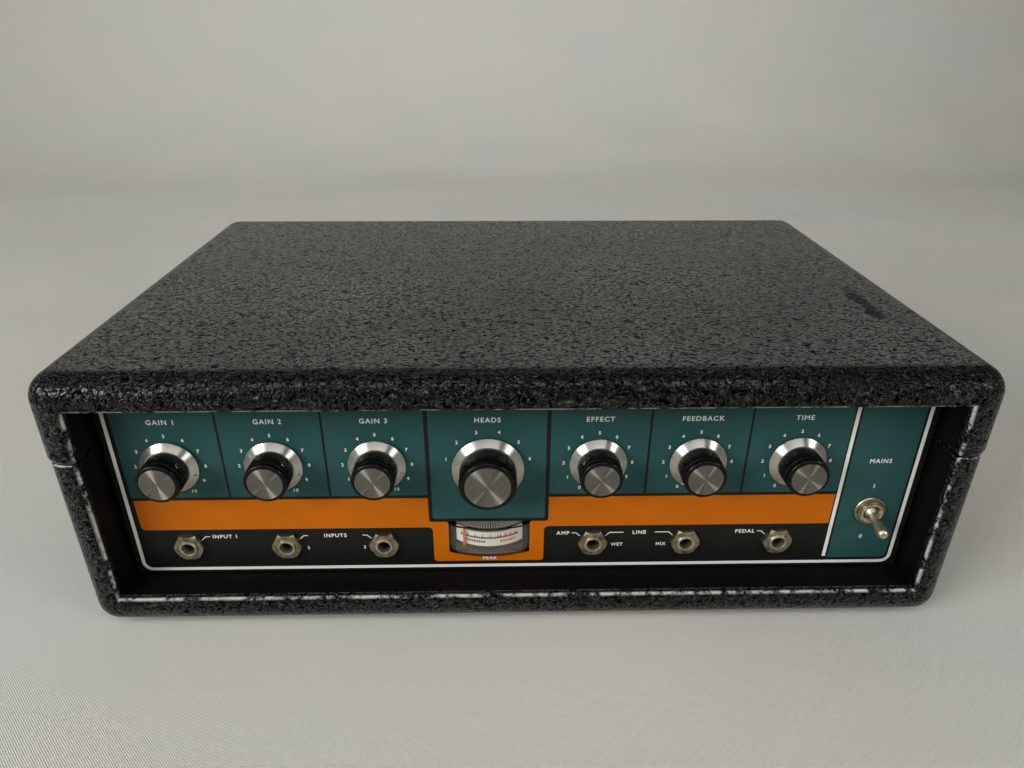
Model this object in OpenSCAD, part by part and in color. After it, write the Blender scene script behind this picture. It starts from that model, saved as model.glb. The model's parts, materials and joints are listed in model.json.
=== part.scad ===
// Tape echo unit: a covered wooden case with a hinged lid, a recessed control panel and a tape deck.
// Millimetres, +Z up, front towards -Y. The origin is under the middle of the whole object, on the surface
// that it stands on. Heights named _h are counted from the underside of the wooden case.

/* [Case] */
// Width of the lid, the widest part of the case
case_w = 440; // [430:1:460]
// Step from the lid's side to the base's side
base_step = 1; // [0.5:0.5:2]
// Depth of the wooden case
case_d = 283; // [280:1:300]
// Height of the wooden case without its feet
case_h = 142; // [140:1:150]
// Height of the joint between the base and the lid
seam_h = 99; // [97:1:101]
// Gap between the base and the closed lid
seam_gap = 0.4; // [0.2:0.1:0.8]
// Radius of the case's outer edges
edge_r = 13; // [6:1:14]
// Thickness of the side and back boards of the base
wall_t = 17; // [15:0.5:17]
// Thickness of the top board
top_t = 17; // [15:0.5:17]
// Thickness of the bottom board
bottom_t = 19; // [15:0.5:19]
// Height of the rubber feet
foot_h = 3; // [2:0.5:6]
// Radius of a rubber foot
foot_r = 9; // [7:0.5:11]

/* [Hinges] */
// Diameter of a hinge knuckle, which stands out behind the case
knuckle_d = 6; // [5:0.5:8]
// Diameter of a hinge pin
hinge_pin_d = 3; // [2:0.5:3.5]
// Length of one hinge along its pin
hinge_len = 50; // [40:1:70]
// Distance of each hinge from the middle of the case
hinge_x = 120; // [80:1:150]
// Height of one hinge leaf
leaf_h = 22; // [18:1:26]
// Thickness of a hinge leaf
leaf_t = 1.5; // [1:0.1:2]

/* [Control panel] */
// Distance of the panel behind the front of the case
recess_d = 19.6; // [18:0.1:24]
// Width of the panel
panel_w = 401; // [396:0.5:402]
// Thickness of the panel
panel_t = 2; // [1.5:0.1:2.5]
// Height of the panel's upper edge
panel_top_h = 123.5; // [120:0.5:124]
// Height of the row of level and echo knobs
knob_h = 85.8; // [84:0.1:88]
// Height of the mode knob
mode_h = 83; // [82:0.1:86]
// Middle of the three left knobs
left_x = -120.4; // [-122:0.1:-118]
// Distance between two left knobs
left_pitch = 50; // [48:0.1:52]
// Place of the mode knob
mode_x = -16.3; // [-20:0.1:-12]
// Middle of the three right knobs
right_x = 86.9; // [85:0.1:89]
// Distance between two right knobs
right_pitch = 49.2; // [48:0.1:50]
// Height of the row of jacks
jack_h = 37.2; // [36:0.1:39]
// Middle of the three right jacks
right_jack_x = 85.8; // [84:0.1:88]
// Distance between two right jacks
right_jack_pitch = 48.3; // [47:0.1:50]
// Place of the power switch
toggle_x = 179.4; // [178:0.1:180]
// Height of the power switch
toggle_h = 55.3; // [50:0.1:60]

/* [Knobs] */
// Radius of a small knob's bright skirt
skirt_r = 14; // [13:0.1:15]
// Radius of a small knob's grip next to the skirt
grip_r = 10.4; // [9.5:0.1:11]
// Radius of a small knob's grip at its face
face_r = 10.2; // [9:0.1:10.4]
// Radius of a small knob's bright disc
disc_r = 8.3; // [7.5:0.1:8.6]
// Distance of a small knob's face from the panel
knob_out = 16.3; // [15:0.1:17.5]
// Radius of the mode knob's bright skirt
mode_skirt_r = 17.7; // [17:0.1:19]
// Radius of the mode knob's grip next to the skirt
mode_grip_r = 13.9; // [12:0.05:14]
// Radius of the mode knob's grip at its face
mode_face_r = 13.2; // [12:0.05:13.8]
// Radius of the mode knob's bright disc
mode_disc_r = 11; // [10:0.1:11.5]
// Distance of the mode knob's face from the panel
mode_out = 17; // [15:0.1:18]
// Turn of a dial from its first to its last number
dial_turn = 300; // [270:1:310]
// Turn between two positions of the mode knob
mode_step = 30; // [30:1:36]
// Reading of the three left knobs, from 0 to 10
left_reading = 8.5; // [0:0.1:10]

/* [Meter] */
// Place of the meter's middle
meter_x = -16.1; // [-18:0.1:-14]
// Width of the meter's clear case
meter_w = 41; // [40:0.5:41.5]
// Height of the meter's lower edge
meter_low_h = 33; // [32:0.1:34]
// Height of the meter's clear case
meter_tall = 17.5; // [16:0.1:17.6]
// Radius of the meter's curved front
meter_front_r = 54; // [50:1:60]
// Distance of the meter's front from the panel
meter_out = 6.3; // [5:0.1:7]
// Turn of the needle from one end to the other
needle_turn = 54; // [40:1:56]

/* [Fittings] */
// Radius of a control shaft
shaft_r = 3; // [2.5:0.05:3.2]
// Radius of a jack's hole, for a quarter-inch plug
jack_bore_r = 3.25; // [3.2:0.01:3.3]
// Width of a jack's nut across its flats
jack_nut_af = 14; // [13:0.5:15]
// Tilt of the switch lever from level
lever_tilt = 11; // [8:1:13]

/* [Tape deck] */
// Height of the deck plate's upper face
deck_h = 84; // [82:0.5:86]
// Width of the tape
tape_w = 6.3; // [6.3:0.1:6.5]
// Radius of a guide roller where the tape runs
roller_r = 10; // [8:0.5:10]
// Distance of the two front rollers from the middle
roller_x = 150; // [140:1:160]
// Place of the front rollers, front to back
roller_front_y = -40; // [-45:1:-35]
// Place of the rear roller, front to back
roller_rear_y = 85; // [70:1:90]
// Place of the capstan, left to right
capstan_x = 95; // [90:1:100]
// Radius of the flywheel
flywheel_r = 38; // [34:1:38]
// Radius of the motor's pulley
pulley_r = 8; // [6:0.5:9]
// Radius of the pinch roller
pinch_r = 12; // [10:0.5:12]
// Place of the motor, left to right
motor_x = 130; // [125:1:140]
// Place of the motor, front to back
motor_y = 55; // [50:1:60]

/* [Hidden] */

$fn = 48;
eps = 0.01;
cut = 1;           // how far a cutting shape runs past the face that it cuts
fit = 0.05;        // radial running clearance of a shaft in its hole
touch_gap = 0.3;   // distance kept between the tape or belt and what it runs on
band_steps = 32;   // steps of a tape's or belt's turn round one circle

front_y = -(case_d + knuckle_d) / 2;
back_y = front_y + case_d;
panel_y = front_y + recess_d;
base_w = case_w - 2 * base_step;
inner_x = base_w / 2 - wall_t;
inner_back_y = back_y - wall_t;
panel_low_h = bottom_t + 0.6;
lid_under_h = case_h - top_t;

// A height above the case's underside as a height above the floor
function up(h) = foot_h + h;

left_knob_x = [for (i = [-1:1]) left_x + i * left_pitch];
right_knob_x = [for (i = [-1:1]) right_x + i * right_pitch];
pot_x = concat(left_knob_x, right_knob_x);
jack_x = concat(left_knob_x, [for (i = [-1:1]) right_jack_x + i * right_jack_pitch]);

// Dial angles run clockwise from the top, as seen from the front
function dial_angle(reading) = -dial_turn / 2 + dial_turn * reading / 10;
mode_angle = -2.5 * mode_step;

// Chassis
chassis_t = 1.5;
chassis_x = 196;
chassis_back_y = 112;
chassis_top_h = 104;
rim_h = 40;
floor_top_h = bottom_t + chassis_t;
flange_y = panel_y + panel_t;
through = panel_t + chassis_t;   // panel and chassis together

// Holes in the panel and chassis
pot_hole_r = 4.9;
jack_hole_r = 4.8;
toggle_hole_r = 6.1;
window_w = meter_w + 1;
window_tall = meter_tall + 2.3;

// Screws
wood_screw_r = 1.5;
wood_head_r = 3;
wood_head_t = 1.8;
case_screw_r = 2;
case_screw_x = 166;
case_screw_y = [-85, 92];
foot_x = 180;
foot_y = 112;

// Rear window and plate
window_x = 60;
window_low_h = 42;
window_top_h = 78;
plate_x = 70;
plate_t = 1.5;
rear_row_h = 60;
gland_x = -35;
fuse_x = 35;
gland_bore_r = 3.5;

// Tape deck
deck_t = 2;
deck_x = 190;
deck_front_y = -90;
deck_back_y = 112;
post_x = 184;
post_front_y = -72;
post_back_y = 104;
tape_t = 0.3;
tape_low_h = 94;
loop_r = roller_r + touch_gap;
tape_in_y = roller_front_y - loop_r;
tape_out_y = tape_in_y - tape_t;
capstan_r = 3;
capstan_y = tape_in_y + touch_gap + capstan_r;
pinch_y = tape_out_y - touch_gap - pinch_r;
pivot_x = capstan_x + 30;
axle_r = 2.5;
belt_t = 1;
belt_w = 5;
flywheel_low_h = 66;
flywheel_t = 12;
belt_low_h = flywheel_low_h + (flywheel_t - belt_w) / 2;
roller_places = [
    [-roller_x, roller_front_y],
    [roller_x, roller_front_y],
    [0, roller_rear_y]
];

// Colours of the finishes
vinyl = "#1b1b1e";
black = "#141416";
teal = "#2b4a4c";
bright = "#c4c2bc";
nickel = "#a49c88";
steel = "#8b8d90";

// Shared shapes

// A rectangle about the middle with round corners
module round_rect(w, h, r) {
    square([w - 2 * r, h], center = true);
    square([w, h - 2 * r], center = true);
    for (x = [-1, 1], y = [-1, 1])
        translate([x * (w / 2 - r), y * (h / 2 - r)]) circle(r);
}

// A board box of the case's depth and height whose edges are all round, standing on z = 0
module round_case(w) {
    intersection() {
        linear_extrude(case_h) round_rect(w, case_d, edge_r);
        translate([0, 0, case_h / 2])
            rotate([90, 0, 0]) linear_extrude(2 * case_d, center = true) round_rect(w, case_h, edge_r);
        translate([0, 0, case_h / 2])
            rotate([90, 0, 90]) linear_extrude(2 * w, center = true) round_rect(case_d, case_h, edge_r);
    }
}

// Moves a shape to a place on the panel, its +Z to the front and its +Y up
module on_panel(x, h) {
    translate([x, panel_y, up(h)]) rotate([90, 0, 0]) children();
}

// A tube about Z
module tube(r_out, r_in, z_low, z_high) {
    translate([0, 0, z_low]) difference() {
        cylinder(r = r_out, h = z_high - z_low);
        translate([0, 0, -cut]) cylinder(r = r_in, h = z_high - z_low + 2 * cut);
    }
}

// A rod about Z
module rod(r, z_low, z_high) {
    translate([0, 0, z_low]) cylinder(r = r, h = z_high - z_low);
}

// A box given by two corners
module block(low, high) {
    translate(low) cube(high - low);
}

// A pan-headed wood screw, its head's underside at the origin and its shank towards -Z
module wood_screw(length) {
    rod(wood_head_r, 0, wood_head_t);
    rod(wood_screw_r, -length, 0);
}

// The wooden case

module base_wood_screw_places() {
    for (x = [-foot_x, foot_x], y = [-foot_y, foot_y])
        translate([x, y, up(-1)]) rotate([180, 0, 0]) children();
    for (x = [-plate_x + 5, plate_x - 5], h = [window_low_h - 4, window_top_h + 4])
        translate([x, inner_back_y - plate_t, up(h)]) rotate([90, 0, 0]) children();
    for (side = [-1, 1], x = [-1, 1])
        translate([side * hinge_x + x * hinge_len / 3, back_y + leaf_t, up(seam_h - 0.65 * leaf_h)])
            rotate([-90, 0, 0]) children();
}

module lid_wood_screw_places() {
    for (side = [-1, 1], x = [-1, 1])
        translate([side * hinge_x + x * hinge_len / 3, back_y + leaf_t, up(seam_h + 0.65 * leaf_h)])
            rotate([-90, 0, 0]) children();
}

module rear_window() {
    block(
        [-window_x, inner_back_y - cut, up(window_low_h)],
        [window_x, back_y + cut, up(window_top_h)]
    );
}

module case_screw_places() {
    for (x = [-case_screw_x, case_screw_x], y = case_screw_y) translate([x, y, up(0)]) children();
}

module base_tray() {
    color(vinyl) difference() {
        intersection() {
            translate([0, front_y + case_d / 2, up(0)]) round_case(base_w);
            block([-case_w, front_y - cut, up(-cut)], [case_w, back_y + cut, up(seam_h)]);
        }
        block([-inner_x, front_y - cut, up(bottom_t)], [inner_x, inner_back_y, up(case_h)]);
        rear_window();
        base_wood_screw_places() rod(wood_screw_r + fit, -13, cut);
        case_screw_places() {
            rod(case_screw_r + 0.3, -cut, bottom_t + cut);
            rod(5, -cut, 4);
        }
    }
}

module rubber_feet() {
    color(black) for (x = [-foot_x, foot_x], y = [-foot_y, foot_y]) translate([x, y, 0]) difference() {
        cylinder(r1 = foot_r - 1, r2 = foot_r, h = foot_h);
        rod(wood_head_r + 0.2, -cut, foot_h - 1);
        rod(wood_screw_r + fit, -cut, foot_h + cut);
    }
}

module base_wood_screws() {
    color(steel) base_wood_screw_places() wood_screw(12);
}

module lid() {
    color(vinyl) difference() {
        intersection() {
            translate([0, front_y + case_d / 2, up(0)]) round_case(case_w);
            block([-case_w, front_y - cut, up(seam_h + seam_gap)], [case_w, back_y + cut, up(case_h + cut)]);
        }
        block([-inner_x, front_y - cut, up(0)], [inner_x, inner_back_y, up(lid_under_h)]);
        lid_wood_screw_places() rod(wood_screw_r + fit, -13, cut);
    }
}

module lid_wood_screws() {
    color(steel) lid_wood_screw_places() wood_screw(12);
}

// The hinges: each base leaf has the two outer knuckles and each lid leaf the middle one

knuckle_gap = 0.3;
leaf_clear = 0.4;
middle_len = hinge_len * 0.4;
outer_len = (hinge_len - middle_len) / 2;
pin_y = back_y + knuckle_d / 2;

module along_pin(x, length, r) {
    translate([x - length / 2, pin_y, up(seam_h)]) rotate([0, 90, 0]) cylinder(r = r, h = length);
}

module base_hinge_leaves() {
    color(steel) for (side = [-1, 1]) difference() {
        union() {
            block(
                [side * hinge_x - hinge_len / 2, back_y, up(seam_h - leaf_h)],
                [side * hinge_x + hinge_len / 2, back_y + leaf_t, up(seam_h)]
            );
            for (end = [-1, 1])
                along_pin(side * hinge_x + end * (hinge_len - outer_len) / 2, outer_len, knuckle_d / 2);
        }
        along_pin(side * hinge_x, middle_len + 2 * knuckle_gap, knuckle_d / 2 + leaf_clear);
        along_pin(side * hinge_x, hinge_len + 2 * cut, hinge_pin_d / 2);
        base_wood_screw_places() rod(wood_screw_r + fit, -13, cut);
    }
}

module lid_hinge_leaves() {
    color(steel) for (side = [-1, 1]) difference() {
        union() {
            block(
                [side * hinge_x - hinge_len / 2, back_y, up(seam_h + seam_gap)],
                [side * hinge_x + hinge_len / 2, back_y + leaf_t, up(seam_h + leaf_h)]
            );
            along_pin(side * hinge_x, middle_len, knuckle_d / 2);
        }
        for (end = [-1, 1])
            along_pin(
                side * hinge_x + end * (hinge_len - outer_len) / 2,
                outer_len + 2 * knuckle_gap,
                knuckle_d / 2 + leaf_clear
            );
        along_pin(side * hinge_x, hinge_len + 2 * cut, hinge_pin_d / 2 + fit);
        lid_wood_screw_places() rod(wood_screw_r + fit, -13, cut);
    }
}

module hinge_pins() {
    color(steel) for (side = [-1, 1]) along_pin(side * hinge_x, hinge_len, hinge_pin_d / 2);
}

// The back

module rear_plate() {
    color(steel) difference() {
        block(
            [-plate_x, inner_back_y - plate_t, up(window_low_h - 8)],
            [plate_x, inner_back_y, up(window_top_h + 8)]
        );
        translate([gland_x, inner_back_y, up(rear_row_h)]) rotate([90, 0, 0]) rod(6.6, -cut, plate_t + cut);
        translate([fuse_x, inner_back_y, up(rear_row_h)]) rotate([90, 0, 0]) rod(6.6, -cut, plate_t + cut);
        base_wood_screw_places() rod(wood_screw_r + fit, -13, cut);
    }
}

module cord_gland() {
    color(black) translate([gland_x, inner_back_y, up(rear_row_h)]) rotate([-90, 0, 0]) difference() {
        union() {
            rod(9, 0, 3);
            rod(6.5, -6, 9);
            translate([0, 0, -4.5]) cylinder(r = 9, h = 4.5 - plate_t, $fn = 6);
        }
        rod(gland_bore_r, -6 - cut, 9 + cut);
    }
}

module fuse_holder() {
    color(black) translate([fuse_x, inner_back_y, up(rear_row_h)]) rotate([-90, 0, 0]) difference() {
        union() {
            rod(8.5, 0, 2.5);
            rod(7.2, 2.5, 9);
            rod(6.5, -24, 0);
            translate([0, 0, -4.5]) cylinder(r = 9, h = 4.5 - plate_t, $fn = 6);
        }
        block([-4, -0.6, 8], [4, 0.6, 9 + cut]);
    }
}

// The chassis and the panel

module panel_holes() {
    for (x = pot_x) on_panel(x, knob_h) rod(pot_hole_r, -through - cut, cut);
    on_panel(mode_x, mode_h) rod(pot_hole_r, -through - cut, cut);
    for (x = jack_x) on_panel(x, jack_h) rod(jack_hole_r, -through - cut, cut);
    on_panel(toggle_x, toggle_h) rod(toggle_hole_r, -through - cut, cut);
    block(
        [meter_x - window_w / 2, panel_y - cut, up(meter_low_h + meter_tall + 0.3 - window_tall)],
        [meter_x + window_w / 2, panel_y + through + cut, up(meter_low_h + meter_tall + 0.3)]
    );
}

module chassis() {
    color(steel) difference() {
        union() {
            block([-chassis_x, flange_y, up(bottom_t)], [chassis_x, chassis_back_y, up(floor_top_h)]);
            block([-chassis_x, flange_y, up(bottom_t)], [chassis_x, flange_y + chassis_t, up(chassis_top_h)]);
            for (x = [-chassis_x, chassis_x - chassis_t])
                block([x, flange_y, up(bottom_t)], [x + chassis_t, chassis_back_y, up(rim_h)]);
            block(
                [-chassis_x, chassis_back_y - chassis_t, up(bottom_t)],
                [chassis_x, chassis_back_y, up(rim_h)]
            );
        }
        panel_holes();
        case_screw_places() rod(case_screw_r + 0.3, bottom_t - cut, floor_top_h + cut);
    }
}

module case_screws() {
    color(steel) case_screw_places() {
        rod(4, 1.2, 4);
        rod(case_screw_r, 4, floor_top_h + 5);
        difference() {
            translate([0, 0, floor_top_h]) cylinder(r = 7 / sqrt(3), h = 3, $fn = 6);
            rod(case_screw_r, floor_top_h - cut, floor_top_h + 4);
        }
    }
}

module front_panel() {
    color(teal) difference() {
        block([-panel_w / 2, panel_y, up(panel_low_h)], [panel_w / 2, panel_y + panel_t, up(panel_top_h)]);
        panel_holes();
    }
}

// The controls

bush_r = 4.7;
bush_out = 3;
pot_r = 12;
pot_back = 14;
shaft_in = 12.5;

module control_bush() {
    rod(bush_r, -through - eps, bush_out);
}

module pot_housings() {
    color(steel) for (x = pot_x) on_panel(x, knob_h) difference() {
        union() {
            control_bush();
            rod(pot_r, -pot_back, -through);
            for (lug = [-1:1]) block([lug * 5 - 1.2, -pot_r - 5, -8], [lug * 5 + 1.2, -pot_r + 3, -7]);
        }
        rod(shaft_r + fit, -shaft_in - 0.3, bush_out + cut);
    }
}

module switch_housing() {
    color(steel) on_panel(mode_x, mode_h) difference() {
        union() {
            control_bush();
            rod(13, -9, -through);
            for (wafer = [-14, -20]) rod(16, wafer, wafer + 2);
            for (x = [-1, 1]) translate([x * 13.5, 0, 0]) rod(1.6, -22, -5);
            block([-14, -3, -9], [14, 3, -7]);
        }
        rod(shaft_r + fit, -shaft_in - 0.3, bush_out + cut);
        rod(6, -20 - cut, -13);
    }
}

module hex_nut(across, hole_r, z_low, z_high) {
    difference() {
        intersection() {
            translate([0, 0, z_low]) cylinder(r = across / sqrt(3), h = z_high - z_low, $fn = 6);
            translate([0, 0, z_low])
                cylinder(r1 = across * 0.64, r2 = across * 0.52, h = z_high - z_low);
        }
        rod(hole_r, z_low - cut, z_high + cut);
    }
}

module panel_nuts() {
    color(nickel) {
        for (x = jack_x) on_panel(x, jack_h) hex_nut(jack_nut_af, 4.65, 0, 2.6);
        for (x = pot_x) on_panel(x, knob_h) hex_nut(12, bush_r + fit, 0, 2);
        on_panel(mode_x, mode_h) hex_nut(12, bush_r + fit, 0, 2);
    }
}

jack_out = 3.6;
jack_deep = 28;

module jack_sockets() {
    color(nickel) for (x = jack_x) on_panel(x, jack_h) difference() {
        union() {
            rod(4.6, -through - eps, jack_out);
            block([-7, -9, -jack_deep], [7, 9, -through]);
        }
        rod(jack_bore_r, -jack_deep + 1.5, jack_out + cut);
    }
}

module toggle_housing() {
    color(nickel) on_panel(toggle_x, toggle_h) difference() {
        union() {
            rod(5.7, -through - eps, 3.4);
            block([-7.5, -13, -22], [7.5, 13, -through]);
        }
        rod(3.7, -3.4, 2);
        translate([0, 0, 2 - eps]) cylinder(r1 = 3.7, r2 = 4.5, h = 1.4 + 2 * eps);
    }
}

module toggle_nut() {
    color(nickel) on_panel(toggle_x, toggle_h) rotate_extrude() polygon([
        [5.75, 0], [8.25, 0], [8.25, 0.8], [7.9, 1.2], [6.9, 1.3], [6.7, 2.4], [6.3, 2.6], [5.75, 2.6]
    ]);
}

// The lever points out and down when the power is off; it turns on a ball in its bush
lever_pivot = 0.5;

module toggle_lever() {
    color(nickel) on_panel(toggle_x, toggle_h) translate([0, 0, lever_pivot]) rotate([lever_tilt, 0, 0]) {
        sphere(r = 3.6);
        translate([0, 0, 2]) cylinder(r1 = 1.9, r2 = 2.9, h = 13);
        translate([0, 0, 15]) sphere(r = 2.9);
    }
}

// A knob's parts, about Z, with its face towards +Z
hub_low = 3.6;
skirt_top = 4.4;
hub_r = 7.5;

module knob_grip(grip, face, disc, out) {
    rotate_extrude() polygon([
        [0, 13], [shaft_r + fit, 13], [shaft_r + fit, hub_low], [hub_r, hub_low], [hub_r, skirt_top],
        [grip, skirt_top], [grip - 0.1, 11.5], [face, out - 0.9], [face - 0.4, out - 0.3],
        [disc + 0.1, out - 0.3], [disc + 0.1, out - 1], [0, out - 1]
    ]);
}

module knob_spindle(skirt, grip, disc, out, angle) {
    rod(shaft_r, -shaft_in, 12.9);
    difference() {
        rotate_extrude() polygon([
            [hub_r + 0.1, 1], [skirt - 0.3, 1], [skirt, 1.3], [skirt, 1.8], [grip + 0.5, skirt_top],
            [hub_r + 0.1, skirt_top]
        ]);
        rotate([0, 0, -angle]) block([-0.6, skirt - 2, 1.6], [0.6, skirt + cut, skirt_top]);
    }
    rod(disc, out - 1, out);
}

module small_knob(x) {
    color(black) on_panel(x, knob_h) knob_grip(grip_r, face_r, disc_r, knob_out);
}

module small_spindle(x, angle) {
    color(bright) on_panel(x, knob_h) knob_spindle(skirt_r, grip_r, disc_r, knob_out, angle);
}

module mode_knob() {
    color(black) on_panel(mode_x, mode_h) knob_grip(mode_grip_r, mode_face_r, mode_disc_r, mode_out);
}

module mode_spindle() {
    color(bright) on_panel(mode_x, mode_h)
        knob_spindle(mode_skirt_r, mode_grip_r, mode_disc_r, mode_out, mode_angle);
}

module input_1_knob() { small_knob(left_knob_x[0]); }
module input_2_knob() { small_knob(left_knob_x[1]); }
module input_3_knob() { small_knob(left_knob_x[2]); }
module volume_knob() { small_knob(right_knob_x[0]); }
module repeat_knob() { small_knob(right_knob_x[1]); }
module delay_knob() { small_knob(right_knob_x[2]); }
module input_1_spindle() { small_spindle(left_knob_x[0], dial_angle(left_reading)); }
module input_2_spindle() { small_spindle(left_knob_x[1], dial_angle(left_reading)); }
module input_3_spindle() { small_spindle(left_knob_x[2], dial_angle(left_reading)); }
module volume_spindle() { small_spindle(right_knob_x[0], dial_angle(0)); }
module repeat_spindle() { small_spindle(right_knob_x[1], dial_angle(0)); }
module delay_spindle() { small_spindle(right_knob_x[2], dial_angle(0)); }

// The meter: its needle turns on an upright axis behind a curved scale

meter_wall = 1.2;
meter_back = 31;
meter_pivot = 24;
scale_r = 27;
pointer_r = 28.6;

// A plan of the meter's case, drawn in by a distance
module meter_plan(inset, back) {
    intersection() {
        translate([-meter_w / 2 + inset, -meter_out]) square([meter_w - 2 * inset, meter_out + back]);
        translate([0, meter_front_r - meter_out]) circle(meter_front_r - inset, $fn = 200);
    }
}

module at_meter(h) {
    translate([meter_x, panel_y, up(h)]) children();
}

module meter_case() {
    color(bright, 0.35) at_meter(meter_low_h) difference() {
        linear_extrude(meter_tall) meter_plan(0, meter_back);
        translate([0, 0, meter_wall])
            linear_extrude(meter_tall - 2 * meter_wall) meter_plan(meter_wall, meter_back + cut);
    }
}

module meter_scale() {
    color("white") at_meter(37.5) translate([0, meter_pivot, 0]) intersection() {
        tube(scale_r, scale_r - 0.8, 0, 8.5);
        block([-17, -scale_r - 1, 0], [17, 0, 8.5]);
    }
}

module meter_movement() {
    color(black) at_meter(0) difference() {
        union() {
            block([-17, 10, 34.4], [17, meter_back, 46]);
            block([-meter_w / 2, meter_back, meter_low_h], [meter_w / 2, meter_back + 2, 50.5]);
        }
        translate([0, meter_pivot, 0]) rod(2 + fit, 39, 47);
    }
}

module meter_needle() {
    color("#d8502a") at_meter(0) translate([0, meter_pivot, 0]) rotate([0, 0, -needle_turn / 2]) {
        rod(2, 40, 47.8);
        block([-0.4, -pointer_r, 47], [0.4, 0, 47.8]);
        block([-0.4, -pointer_r, 36.5], [0.4, -pointer_r + 0.8, 47.8]);
    }
}

// The works under the deck

module transformer() {
    translate([-125, 60, up(floor_top_h)]) {
        color(steel) block([-33, -14, 2], [33, 14, 54]);
        color(steel) block([-40, -14, 0], [40, 14, 2]);
        color("#8a5a2a") {
            block([-20, 14, 12], [20, 24, 44]);
            block([-20, -24, 12], [20, -14, 44]);
        }
    }
}

board_h = 28;
board_low = [-150, -85];
board_high = [-20, 10];

module circuit_board() {
    color("#8a6f3a") block(concat(board_low, up(board_h)), concat(board_high, up(board_h + 1.6)));
    color(steel) for (x = [board_low[0] + 6, board_high[0] - 6], y = [board_low[1] + 6, board_high[1] - 6])
        translate([x, y, 0]) rod(3, up(floor_top_h), up(board_h));
    color("#3a4a7a") for (i = [0:5], j = [0:2])
        translate([board_low[0] + 15 + i * 19, board_low[1] + 20 + j * 24, 0])
            rod(3 + (i + j) % 3, up(board_h + 1.6), up(board_h + 10 + 3 * ((i + 2 * j) % 4)));
}

module deck_posts() {
    color(steel) for (x = [-post_x, post_x], y = [post_front_y, post_back_y])
        translate([x, y, 0]) rod(4, up(floor_top_h), up(deck_h - deck_t));
}

module at_capstan() {
    translate([capstan_x, capstan_y, 0]) children();
}

module at_motor() {
    translate([motor_x, motor_y, 0]) children();
}

module motor_housing() {
    color(steel) at_motor() difference() {
        union() {
            rod(28, up(floor_top_h + 2), up(58));
            rod(7, up(58), up(60));
            rod(32, up(floor_top_h), up(floor_top_h + 2));
        }
        rod(2 + fit, up(40), up(60 + cut));
    }
}

module motor_pulley() {
    color("#b8995a") at_motor() {
        rod(2, up(40.5), up(80));
        difference() {
            rod(pulley_r, up(belt_low_h - 2), up(belt_low_h + belt_w + 2));
            rod(2, 0, up(80));
        }
    }
}

module flywheel() {
    color(steel) at_capstan() {
        rotate_extrude() translate([0, up(flywheel_low_h)]) polygon([
            [capstan_r - eps, 0], [8, 0], [8, 4], [flywheel_r - 9, 4], [flywheel_r - 9, 0], [flywheel_r, 0],
            [flywheel_r, flywheel_t], [flywheel_r - 9, flywheel_t], [flywheel_r - 9, 8], [8, 8],
            [8, flywheel_t], [capstan_r - eps, flywheel_t]
        ]);
        rod(capstan_r, up(62), up(105));
    }
}

module thrust_bracket() {
    color(steel) at_capstan() {
        block([-46, -8, up(59.5)], [46, 8, up(61.5)]);
        for (x = [-46, 44]) block([x, -8, up(59.5)], [x + 2, 8, up(deck_h - deck_t)]);
    }
}

// The outline of a closed band that runs anticlockwise round some circles. Each straight run faces a
// direction in facings, an angle from +X, and leads from its own circle to the next one.
function band_outline(places, radii, facings) = [
    for (i = [0:len(places) - 1])
        let (before = facings[(i + len(places) - 1) % len(places)])
        let (turn = (facings[i] - before + 720) % 360)
        for (step = [0:band_steps])
            let (angle = before + turn * step / band_steps)
            places[i] + radii[i] * [cos(angle), sin(angle)]
];

module band(places, radii, facings, thickness, width) {
    linear_extrude(width) difference() {
        polygon(band_outline(places, [for (r = radii) r + thickness], facings));
        polygon(band_outline(places, radii, facings));
    }
}

module drive_belt() {
    belt_span = [motor_x - capstan_x, motor_y - capstan_y];
    along = atan2(belt_span[1], belt_span[0]);
    lean = acos((flywheel_r - pulley_r) / norm(belt_span));
    color(black) at_capstan() translate([0, 0, up(belt_low_h)]) band(
        [[0, 0], belt_span],
        [flywheel_r + touch_gap, pulley_r + touch_gap],
        [along - lean, along + lean],
        belt_t,
        belt_w
    );
}

// The deck

module deck_plate() {
    color("#6f7275") difference() {
        translate([0, (deck_front_y + deck_back_y) / 2, up(deck_h - deck_t)])
            linear_extrude(deck_t) round_rect(2 * deck_x, deck_back_y - deck_front_y, 8);
        at_capstan() rod(6, up(deck_h - deck_t - cut), up(deck_h + cut));
    }
}

module capstan_bearing() {
    color("#b8995a") at_capstan() difference() {
        union() {
            rod(6, up(79), up(90));
            rod(9, up(deck_h), up(deck_h + 1.5));
        }
        rod(capstan_r + fit, up(79 - cut), up(90 + cut));
    }
}

// A head with a round nose that faces the tape, on its own foot plate
module head(x) {
    translate([x, tape_out_y - 0.1, 0]) {
        block([-8, -18, up(deck_h)], [8, -3, up(deck_h + 3)]);
        block([-6.5, -15, up(deck_h + 3)], [6.5, -3, up(deck_h + 20)]);
        intersection() {
            translate([0, -8, 0]) rod(8, up(deck_h + 7), up(deck_h + 19));
            block([-6.5, -4, 0], [6.5, 0, up(case_h)]);
        }
    }
}

module erase_head() { color(black) head(-115); }
module record_head() { color(bright) head(-85); }
module play_heads() { color(bright) for (x = [-50, -10, 30]) head(x); }

module at_pinch_pivot() {
    translate([pivot_x, pinch_y, 0]) children();
}

module roller_posts() {
    color(steel) {
        for (place = roller_places) translate(place) {
            rod(6, up(deck_h), up(tape_low_h - 2.2));
            rod(shaft_r, up(tape_low_h - 3), up(104));
        }
        at_pinch_pivot() {
            rod(6, up(deck_h), up(deck_h + 1.8));
            rod(shaft_r, up(deck_h), up(99));
        }
    }
}

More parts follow.
